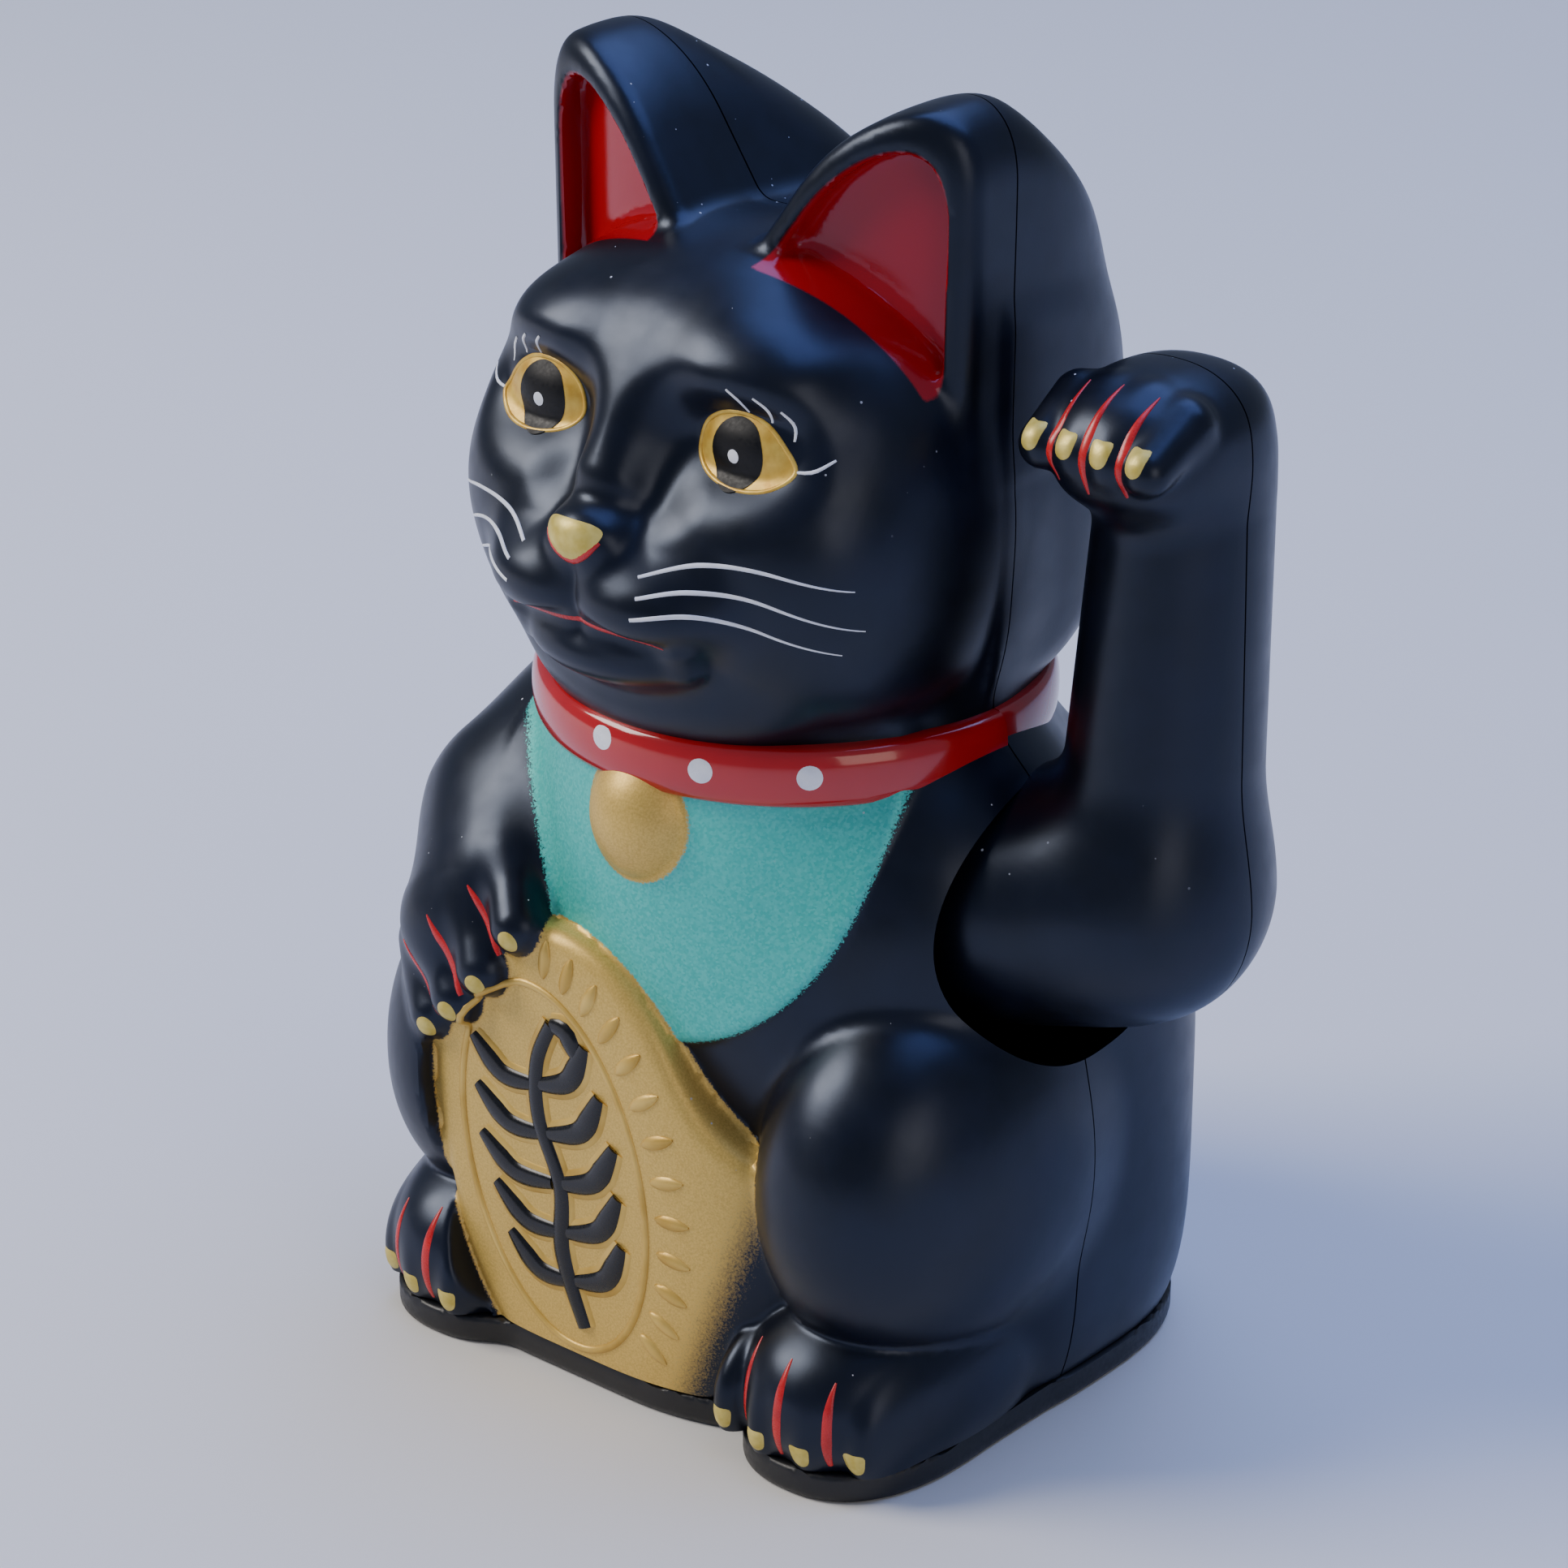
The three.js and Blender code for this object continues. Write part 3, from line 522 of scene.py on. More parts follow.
points, faces = surface(shrunk(cat, wall), (-62, -54, 0), (62, 48, 205), 2.2)
cat_hollow = add_mesh("cat_hollow", points, faces)
points, faces = surface(shrunk(arm, arm_wall), (25, -20, 56), (78, 34, 172), 2.0)
arm_hollow = add_mesh("arm_hollow", points, faces)

hole_middle, hole_radii = (3.0, 80.5), (25.5, 21.0)
bm = bmesh.new()
hole_shape = (Matrix.Translation((0.045, hole_middle[0] * MM, hole_middle[1] * MM))
              @ Matrix.Rotation(math.pi / 2, 4, "Y")
              @ Matrix.Diagonal((hole_radii[1] * MM, hole_radii[0] * MM, 1, 1)))
bmesh.ops.create_cone(bm, cap_ends=True, segments=96, radius1=1, radius2=1, depth=0.05,
                      matrix=hole_shape)
bmesh.ops.recalc_face_normals(bm, faces=bm.faces)
arm_hole = from_bmesh("arm_hole", bm)

# %% Part the shells
half = seam_gap / 2
reach = 100
front_half = box("front_half", (-reach, -reach, base_top), (reach, -half, 250))
rear_half = box("rear_half", (-reach, half, base_top), (reach, reach, 250))
arm_front_half = box("arm_front_half", (0, -reach, 0), (reach, arm_seam - half, 250))
arm_rear_half = box("arm_rear_half", (0, arm_seam + half, 0), (reach, reach, 250))

cat_front = part_of(cat_skin, "cat_front", [(cat_hollow, "DIFFERENCE"), (arm_hole, "DIFFERENCE"),
                                            (front_half, "INTERSECT")])
cat_rear = part_of(cat_skin, "cat_rear", [(cat_hollow, "DIFFERENCE"), (arm_hole, "DIFFERENCE"),
                                          (rear_half, "INTERSECT")])
arm_front = part_of(arm_skin, "arm_front", [(arm_hollow, "DIFFERENCE"),
                                            (arm_front_half, "INTERSECT")])
arm_rear = part_of(arm_skin, "arm_rear", [(arm_hollow, "DIFFERENCE"),
                                          (arm_rear_half, "INTERSECT")])
shells = (cat_front, cat_rear, arm_front, arm_rear)
for tool in (cat_skin, arm_skin, cat_hollow, arm_hollow, arm_hole, front_half, rear_half,
             arm_front_half, arm_rear_half):
    bpy.data.objects.remove(tool)
for piece in shells:
    shade_smooth(piece, 40)
    triangles = sum(len(p.vertices) - 2 for p in piece.data.polygons)
    print(piece.name, triangles, "triangles")

# %% [markdown]
# ## Where each colour is sprayed
# Spray masks give big areas an edge that is soft by half a millimetre and slightly speckled. How
# far each corner of the mesh is outside a painted area is kept on it as a number, and the finish
# turns that number to a colour edge. This stays sharp on a coarse mesh, because distance changes
# evenly.

# %% Store the distances
def note(piece, name, values):
    attribute = piece.data.attributes.new(name, "FLOAT", "POINT")
    attribute.data.foreach_set("value", np.asarray(values, np.float32))


for piece in (cat_front, cat_rear):
    points = corners(piece)
    at = tuple(points.T)
    side = (np.abs(at[0]), at[1], at[2])
    coin_out = np.maximum(np.maximum(coin_edge(at) - 0.8, at[1] + 33), coin(at) - 0.6)
    note(piece, "gold", np.minimum(coin_out, egg(at, *bell) - 0.5))
    on_chest = np.maximum(at[2] - 104, torso(at) - 1.0)
    note(piece, "bib", np.maximum(bib_edge(at), on_chest))
    note(piece, "ear", np.maximum(ear_cup(side) - 0.4, 161 - at[2]))
    note(piece, "overspray", at[0] - 24.5 - 0.34 * (at[2] - 40))
for piece in (arm_front, arm_rear):
    for name in ("gold", "bib", "ear", "overspray"):
        note(piece, name, np.full(len(piece.data.vertices), far_off))

# %% [markdown]
# ## Lines and spots painted by hand
# Whiskers, lashes, eye colours and claws are thick enamel, so they are modelled as thin raised
# films. A stroke is a flat oval section carried along a smooth line on the skin and a spot is a
# round sheet laid on it. Both are closed bodies, sunk slightly so that no edge floats.

# %% A smooth line through points
def smooth_line(knots, count, closed=False):
    knots = [np.array(k, float) for k in knots]
    if len(knots) == 2:
        knots = [knots[0], (knots[0] + knots[1]) / 2, knots[1]]
    spans = len(knots) if closed else len(knots) - 1
    line = []
    for i in range(count):
        place = spans * i / (count if closed else count - 1)
        k = min(int(place), spans - 1)
        t = place - k
        if closed:
            a, b, c, d = (knots[(k + j) % len(knots)] for j in (-1, 0, 1, 2))
        else:
            a, b, c, d = (knots[min(max(k + j, 0), len(knots) - 1)] for j in (-1, 0, 1, 2))
        line.append(0.5 * (2 * b + (c - a) * t + (2 * a - 5 * b + 4 * c - d) * t ** 2
                           + (3 * b - a - 3 * c + d) * t ** 3))
    return np.array(line)


# %% Lay points on a skin
class Skin:
    def __init__(self, shape, tree):
        self.shape, self.tree = shape, tree

    def lay(self, points):
        """Two numbers are width and height seen from the front; three are a place near the skin."""
        laid = []
        for point in points:
            if len(point) == 2:
                start = Vector((point[0], -70, point[1])) * MM
                hit = self.tree.ray_cast(start, Vector((0, 1, 0)))[0]
            else:
                hit = self.tree.find_nearest(Vector(point) * MM)[0]
            laid.append(np.array(hit) / MM)
        laid = np.array(laid)
        slope = slope_at(self.shape, laid, 0.3)
        return laid, slope / np.linalg.norm(slope, axis=1)[:, None]


cat_surface, arm_surface = Skin(cat, cat_tree), Skin(arm, arm_tree)


# %% A painted stroke
def stroke(bm, skin, knots, widths, thick=0.15, closed=False, sides=10, sink=0.25):
    """widths are in millimetres, spread evenly along the line."""
    run = sum(np.linalg.norm(np.subtract(b, a)) for a, b in zip(knots, knots[1:]))
    count = max(8, min(90, int(run / 0.8)))
    line, normals = skin.lay(smooth_line(knots, count, closed))
    share = np.linspace(0, 1, count)
    wide = np.interp(share, np.linspace(0, 1, len(widths)), widths)
    if closed:
        ahead, behind = np.roll(line, -1, 0), np.roll(line, 1, 0)
    else:
        ahead, behind = np.vstack([line[1:], line[-1:]]), np.vstack([line[:1], line[:-1]])
    rings = []
    for place, normal, along, width in zip(line, normals, ahead - behind, wide):
        along = along / (np.linalg.norm(along) + 1e-9)
        across = np.cross(normal, along)
        across /= np.linalg.norm(across) + 1e-9
        spin = Matrix((across, normal, np.cross(across, normal))).transposed().to_4x4()
        tall = thick * (0.35 + 0.65 * min(1, width / max(widths)))
        place = (place - normal * tall * sink) * MM
        flat = Matrix.Diagonal((width / 2 * MM, tall * MM, MM, 1))
        shape = Matrix.Translation(place) @ spin @ flat
        rings.append(bmesh.ops.create_circle(bm, cap_ends=False, segments=sides, radius=1,
                                             matrix=shape)["verts"])
    edges = [[e for e in {e for v in ring for e in v.link_edges}
              if e.verts[0] in ring and e.verts[1] in ring] for ring in rings]
    pairs = list(zip(edges, edges[1:])) + ([(edges[-1], edges[0])] if closed else [])
    for a, b in pairs:
        bmesh.ops.bridge_loops(bm, edges=a + b)
    if not closed:
        for ring in (rings[0], rings[-1]):
            bmesh.ops.contextual_create(bm, geom=ring)


# %% A painted spot
film = 0.3


def spot(bm, skin, middle, outline, thick=0.1, rings=5, count=40, axes=None, lift=0.02):
    """outline holds offsets from the middle, smoothed to a closed edge; axes lay a spot that isn't
    seen from the front."""
    edge = smooth_line(outline, count, closed=True)
    shares = [0.04] + [(k + 1) / rings for k in range(rings)]
    loops, places = [], []
    for share in shares:
        made = bmesh.ops.create_circle(bm, cap_ends=False, segments=count, radius=share)["verts"]
        loops.append(made)
        for offset in edge:
            if axes is None:
                places.append((middle[0] + offset[0] * share, middle[1] + offset[1] * share))
            else:
                places.append(tuple(np.array(middle) + np.array(axes[0]) * offset[0] * share
                                    + np.array(axes[1]) * offset[1] * share))
    laid, normals = skin.lay(places)
    for k, loop in enumerate(loops):
        rise = thick * (1 - shares[k] ** 6) + lift
        for i, vert in enumerate(loop):
            at = laid[k * count + i] + normals[k * count + i] * rise
            vert.co = Vector(at) * MM
    edges = [[e for e in {e for v in loop for e in v.link_edges}
              if e.verts[0] in loop and e.verts[1] in loop] for loop in loops]
    sheet = []
    for a, b in zip(edges, edges[1:]):
        sheet += bmesh.ops.bridge_loops(bm, edges=a + b)["faces"]
    sheet += bmesh.ops.contextual_create(bm, geom=loops[0])["faces"]
    bmesh.ops.recalc_face_normals(bm, faces=sheet)
    sheet[0].normal_update()
    if sheet[0].normal.dot(Vector(normals[0])) < 0:
        bmesh.ops.reverse_faces(bm, faces=sheet)
    bmesh.ops.solidify(bm, geom=sheet, thickness=film * MM)


# %% [markdown]
# ## Face paint
# Each eye is a gold almond with a thin raised gold rim, a black oval pupil and a white glint, a
# painted highlight in white enamel. Four lashes curl over it, three whiskers sweep back from the
# muzzle, and the nose is a gold triangle with a red lower edge.

# %% Sheets of paint for the face and the claws
paint = {name: bmesh.new() for name in ("eye_gold", "eye_black", "white_enamel_and_painted_glint", "red_enamel",
                                        "claw_gold", "paw_red", "paw_claws")}


def round_outline(across, tall, corners_at=8):
    return [(across * math.cos(2 * math.pi * k / corners_at),
             tall * math.sin(2 * math.pi * k / corners_at)) for k in range(corners_at)]


def mirrored(points, side):
    return [(p[0] * side, *p[1:]) for p in points]


eye_middle = (18.9, 155.0)
almond = [(-8.0, -0.4), (-6.8, 3.0), (-3.4, 5.1), (1.0, 5.3), (4.7, 3.6), (7.6, 0.0), (8.2, -1.9),
          (5.4, -4.0), (0.8, -4.7), (-4.0, -4.1), (-7.0, -2.6)]
lashes = [[(17.4, 164.4), (18.8, 162.9), (19.5, 160.9)],
          [(21.2, 163.6), (22.8, 162.0), (23.0, 159.9)],
          [(24.7, 161.9), (26.2, 160.0), (26.3, 157.7)],
          [(27.2, 153.7), (29.8, 154.1), (31.8, 155.6)]]
whiskers = [[(10.8, 138.4), (18.3, 140.7), (27.0, 140.7), (36.2, 137.7)],
            [(11.9, 136.0), (18.0, 137.2), (26.8, 136.0), (36.3, 131.2)],
            [(11.6, 133.0), (18.4, 134.1), (24.5, 132.1), (33.9, 127.6)]]
for side in (1, -1):
    middle = (eye_middle[0] * side, eye_middle[1])
    outline = mirrored(almond, side)
    within_rim = [(x * 0.96, z * 0.95) for x, z in outline]
    spot(paint["eye_gold"], cat_surface, middle, within_rim, 0.1, 8, 56)
    rim = [(middle[0] + x, middle[1] + z) for x, z in outline]
    stroke(paint["eye_gold"], cat_surface, rim, [0.75], 0.3, closed=True)
    pupil = (middle[0] - 0.6 * side, middle[1] - 0.1)
    spot(paint["eye_black"], cat_surface, pupil, round_outline(4.4, 5.1), 0.08, 6, 40,
         lift=0.16)
    # The white spot on each pupil is a painted highlight, laid as white enamel.
    spot(paint["white_enamel_and_painted_glint"], cat_surface, (pupil[0] - 0.2, pupil[1] - 0.3),
         round_outline(0.95, 1.0), 0.06, 2, 16, lift=0.26)
    for knots in lashes:
        stroke(paint["white_enamel_and_painted_glint"], cat_surface, mirrored(knots, side), [0.4, 0.6, 0.35], 0.2)
    for knots in whiskers:
        stroke(paint["white_enamel_and_painted_glint"], cat_surface, mirrored(knots, side),
               [0.6, 0.75, 0.6, 0.2], 0.18)
    lip = [(0, 129.4), (4.5, 129.0), (9.0, 128.6), (14.2, 128.0)]
    stroke(paint["red_enamel"], cat_surface, mirrored(lip, side), [0.9, 0.8, 0.6, 0.3], 0.15)
nose = [(0, 2.5), (3.4, 2.1), (4.9, 0.7), (3.0, -2.0),
        (0, -3.9), (-3.0, -2.0), (-4.9, 0.7), (-3.4, 2.1)]
spot(paint["claw_gold"], cat_surface, (0, 142.4), nose, 0.12, 8, 48, lift=0.12)
stroke(paint["red_enamel"], cat_surface, [(-4.8, 142.3), (-2.9, 140.3), (0, 138.9), (2.9, 140.3),
                                          (4.8, 142.3)], [0.6, 1.2, 1.5, 1.2, 0.6], 0.34)
print("face painted")

# %% Toe lines and claws
foot_lines = [[(27.3, 20.5), (27.5, 13.5), (27.2, 6.2)], [(35.3, 21.0), (35.6, 14.0), (35.4, 6.2)],
              [(43.1, 19.6), (43.5, 13.0), (43.3, 6.4)]]
claw = [(-1.5, 1.6), (0, 1.7), (1.5, 1.6), (1.6, 0.2),
        (1.2, -1.3), (0, -1.9), (-1.2, -1.3), (-1.6, 0.2)]
for side in (1, -1):
    for knots in foot_lines[0 if side > 0 else 1:]:
        stroke(paint["red_enamel"], cat_surface, mirrored(knots, side), [0.3, 1.5, 1.7, 0.8], 0.3)
    for x, _ in foot_toes:
        if -30 < x * side < 0:
            continue
        spot(paint["claw_gold"], cat_surface, (x * side, 7.6), claw, 0.2, 4, 24)
hand_lines = [[(-28.6, 77.6), (-24.8, 73.8), (-21.4, 68.6)],
              [(-35.0, 71.6), (-30.8, 67.0), (-27.3, 61.0)],
              [(-41.2, 65.2), (-37.4, 61.2), (-33.2, 55.4)]]
for knots in hand_lines:
    stroke(paint["red_enamel"], cat_surface, knots, [0.3, 1.4, 1.8, 0.9], 0.3)
for x, z in ((-17.9, 72.6), (-23.5, 64.2), (-29.4, 58.0), (-35.6, 52.8)):
    spot(paint["claw_gold"], cat_surface, (x, z), round_outline(1.5, 1.8), 0.2, 4, 24)
for left, right_toe in zip(paw_toes, paw_toes[1:]):
    x = (left + right_toe) / 2
    knots = [(x, -2.0, 165.0), (x, -6.5, 163.0), (x, -9.5, 160),
             (x, -11, 156.5), (x + 0.4, -9.5, 152.5)]
    stroke(paint["paw_red"], arm_surface, knots, [0.2, 1.0, 1.6, 1.5, 0.4], 0.3)
for toe in paw_toes:
    spot(paint["paw_claws"], arm_surface, (toe - 0.3, 158.6), claw, 0.2, 4, 24)
print("toes painted")

# %% [markdown]
# ## Relief on the coin
# The rim carries a ring of raised dashes, like a milled edge, outside a raised oval line. The panel
# has a raised ear of rice in black with a gold step round it, a pattern made for this part.

# %% Coin relief
relief = {"coin_gold": bmesh.new(), "coin_black": bmesh.new()}
panel_middle, panel_radii = coin_panel


def on_coin(across, along):
    c, s = math.cos(coin_lean), math.sin(coin_lean)
    return (panel_middle[0] + across * c - along * s, panel_middle[1] + across * s + along * c)


def on_coin_oval(angle, grow):
    return on_coin((panel_radii[0] + grow) * math.cos(angle),
                   (panel_radii[1] + grow) * math.sin(angle))


ring = [on_coin_oval(2 * math.pi * k / 16, 0) for k in range(16)]
stroke(relief["coin_gold"], cat_surface, ring, [1.3], 0.55, closed=True, sides=12)
dashes = 34
for k in range(dashes):
    angle = 2 * math.pi * k / dashes
    start, end = on_coin_oval(angle, 2.2), on_coin_oval(angle, 8.2)
    at = (np.float64(end[0]), 0, np.float64(end[1]))
    if coin_edge(at) < -1.2 and end[1] > 8:
        stroke(relief["coin_gold"], cat_surface, [start, end], [0.5, 2.2, 2.6, 2.0, 0.4], 0.75,
               sides=8)

stem = [(0.5, -26), (-1.2, -14), (1.0, -3), (-0.8, 8), (1.0, 17), (5.5, 23.5)]
grains = []
for k, along in enumerate((-18.5, -10.5, -2.5, 5.5, 13.5)):
    for side in (1, -1):
        long = 13.8 - 1.1 * abs(k - 2)
        grains.append([(0.6 * side, along), (side * long * 0.6, along + 1.2),
                       (side * long, along + 7.0)])
grains.append([(5.5, 23.5), (8.4, 22.4), (9.4, 18.6)])
stem_widths, grain_widths, step_width = [3.0, 3.6, 3.2, 3.2, 3.0, 2.6], [2.4, 3.6, 4.2, 2.2], 1.5
for line, widths in [(stem, stem_widths)] + [(grain, grain_widths) for grain in grains]:
    knots = [on_coin(*p) for p in line]
    stroke(relief["coin_gold"], cat_surface, knots, [w + step_width for w in widths], 0.45,
           sides=12, sink=0)
    stroke(relief["coin_black"], cat_surface, knots, widths, 1.0, sides=12, sink=0)
print("coin relief made")

# %% [markdown]
# ## Collar
# A glossy red band, moulded in two halves with the shells. The front half stands a little proud of
# the rear one and ends square at the seam. A rounded section is spun half a turn for each.

# %% Spin the collar halves
collar_low, collar_high, collar_inner = 101.0, 110.5, 35.8
collar_front_outer, collar_rear_outer = 39.7, 38.9


def collar_half(name, outer, start, sweep):
    bm = bmesh.new()
    tall, deep = collar_high - collar_low, outer - collar_inner
    points = [(collar_inner, collar_low)]
    for k in range(13):
        angle = math.pi * (k / 12 - 0.5)
        swell = abs(math.cos(angle)) ** 0.55
        points.append((collar_inner + deep * (0.25 + 0.75 * swell),
                       (collar_low + collar_high) / 2 + tall / 2 * math.sin(angle)))
    points.append((collar_inner, collar_high))
    verts = [bm.verts.new((r * MM, 0, z * MM)) for r, z in points]
    section = bm.faces.new(verts)
    bmesh.ops.rotate(bm, verts=bm.verts, cent=(0, 0, 0), matrix=Matrix.Rotation(start, 3, "Z"))
    bmesh.ops.spin(bm, geom=[section] + section.edges[:] + section.verts[:], cent=(0, 0, 0),
                   axis=(0, 0, 1), angle=sweep, steps=96, use_duplicate=False)
    ends = [f for f in bm.faces if len(f.verts) == len(points)]
    if len(ends) < 2:
        bm.faces.new(verts)
    bmesh.ops.recalc_face_normals(bm, faces=bm.faces)
    piece = from_bmesh(name, bm)
    shade_smooth(piece, 45)
    return piece


gap_turn = half / collar_inner
sweep = math.pi - 2 * gap_turn
collar_front = collar_half("collar_band_front", collar_front_outer, math.pi + gap_turn, sweep)
collar_rear = collar_half("collar_band_rear", collar_rear_outer, gap_turn, sweep)
front_tree = tree_of(collar_front)


# %% White dots on the collar
def collar_shape(at):
    return length(at[0], at[1]) - collar_front_outer


dots = bmesh.new()
collar_surface = Skin(collar_shape, front_tree)
for degrees, high in ((-5.4, 107.6), (19.5, 106.4), (42.5, 106.4)):
    turn_by = math.radians(degrees)
    place = (39.6 * math.sin(turn_by), -39.6 * math.cos(turn_by), high)
    flat = (math.cos(turn_by), math.sin(turn_by), 0)
    spot(dots, collar_surface, place, round_outline(1.9, 1.9), 0.12, 3, 24, axes=(flat, (0, 0, 1)))
collar_dots = from_bmesh("collar_dots", dots)

# %% Paint pieces into the scene
pieces = {name: from_bmesh(name, bm) for name, bm in {**paint, **relief}.items()}
for piece in [*pieces.values(), collar_dots]:
    shade_smooth(piece, 60)
print(len(pieces), "painted pieces")

# %% [markdown]
# ## Base plate
# The plate closes the bottom and shows as a thin black line under the figure. Its battery well and
# its door opening come from the working plate, and only its rim is made to follow the outline of
# the body: a thin slice of the same blended masses, drawn in a little and rounded underneath.

# %% Plate with a rim that follows the body
plate_top, rim_width, rim_inset = 4.7, 8.0, 0.4


def outline_slice(inset, low, high, rounding):
    def shape(at):
        level = (at[0] + 0 * at[2], at[1] + 0 * at[2], 0 * (at[0] + at[1] + at[2]) + 8.0)
        side = (np.abs(level[0]), level[1], level[2])
        plan = blend(torso(level), egg(side, (35.6, -21.5, 9), (17, 25, 20), 2.4), 5)
        plan = blend(plan, coin(level), 3) + inset
        return both(both(plan, at[2] - high, 0.1), low - at[2], rounding)
    return shape


def slice_mesh(name, *limits):
    points, faces = surface(outline_slice(*limits), (-62, -54, -3), (62, 52, limits[2] + 3), 0.8)
    return add_mesh(name, settle(outline_slice(*limits), points, 2, 0.4), faces)


inside = slice_mesh("inside", rim_inset + 2, -1.5, 60, 0.5)
rim = slice_mesh("rim", rim_inset, 0, plate_top, 1.6)
core = slice_mesh("core", rim_inset + rim_width, -1.5, 8, 0.5)
plate_mesh = bmesh.new()
plate_mesh.from_mesh(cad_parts["base_plate"].data)
bmesh.ops.remove_doubles(plate_mesh, verts=plate_mesh.verts, dist=0.002 * MM)
plate = from_bmesh("plate", plate_mesh)
cut(plate, inside, "INTERSECT")
cut(rim, core)
cut(plate, rim, "UNION")
for tool in (inside, rim, core):
    bpy.data.objects.remove(tool)
shade_smooth(plate, 35)
plate.name = "base_plate_trimmed"
print("base plate", len(plate.data.polygons), "faces")

# %% [markdown]
# ## Finishes
# Every finish is built from nodes. Colours are written as they would be picked on a screen and one
# function turns them to linear light. Patterns use object coordinates, and each scale comes from
# a real size in millimetres.

# %% Helpers for finishes
def linear(hex_colour):
    values = [int(hex_colour[i:i + 2], 16) / 255 for i in (1, 3, 5)]
    return (*[v / 12.92 if v <= 0.04045 else ((v + 0.055) / 1.055) ** 2.4 for v in values], 1)


def per_mm(size):
    """Scale of a texture whose pattern repeats about every size millimetres."""
    return 1 / (size * MM)


def new_finish(name, **sockets):
    material = bpy.data.materials.new(name)
    material.use_nodes = True
    tree = material.node_tree
    shader = tree.nodes["Principled BSDF"]
    for label, value in sockets.items():
        shader.inputs[label.replace("_", " ")].default_value = value
    return material, tree, shader


def add(tree, kind, links=None, **settings):
    """Adds a node; links maps an input to a value or to another node's output."""
    node = tree.nodes.new("ShaderNode" + kind)
    for label, value in settings.items():
        setattr(node, label, value)
    for key, value in (links or {}).items():
        if isinstance(value, bpy.types.NodeSocket):
            tree.links.new(value, node.inputs[key])
        else:
            node.inputs[key].default_value = value
    return node


def mix(tree, factor, a, b):
    return add(tree, "Mix", {0: factor, 6: a, 7: b}, data_type="RGBA").outputs[2]


def work_out(tree, operation, *values):
    return add(tree, "Math", dict(enumerate(values)), operation=operation).outputs[0]


def fade(tree, value, low, high, to_low=0.0, to_high=1.0):
    return add(tree, "MapRange", {0: value, 1: low, 2: high, 3: to_low, 4: to_high}).outputs[0]


def noise(tree, size, detail=2.0, rough=0.5):
    place = add(tree, "TexCoord").outputs["Object"]
    return add(tree, "TexNoise", {"Vector": place, "Scale": per_mm(size), "Detail": detail,
                                  "Roughness": rough}).outputs[0]


def cells(tree, size, feature="F1", out="Distance"):
    place = add(tree, "TexCoord").outputs["Object"]
    return add(tree, "TexVoronoi", {"Vector": place, "Scale": per_mm(size)},
               feature=feature).outputs[out]


def bump(tree, shader, height, depth_mm, strength=1.0):
    node = add(tree, "Bump", {"Height": height, "Distance": depth_mm * MM, "Strength": strength})
    tree.links.new(node.outputs[0], shader.inputs["Normal"])


# %% [markdown]
# ### Sprayed shell
# Satin black acrylic lacquer over moulded polystyrene: a soft gloss with a faint orange peel, and
# specks of dust on the upper faces. The bib is a pearl turquoise, the coin and bell gold bronze
# paint, and the ears a clear gloss red. Fine noise moves each edge, as spray leaves it speckled.

# %% Shell finish
# Both blacks are tinted blue, the second more, as a painted blue sky sheen on the black lacquer;
# random clouds mix the two.
black, black_painted_blue_sheen = linear("#07080e"), linear("#0b0e1a")
bib_deep, bib_light = linear("#1a9b90"), linear("#4fd3c6")
gold_deep, gold_light = linear("#a9812f"), linear("#e2bf66")
ear_red = linear("#9c0f17")
dust_white = linear("#c9ccd2")


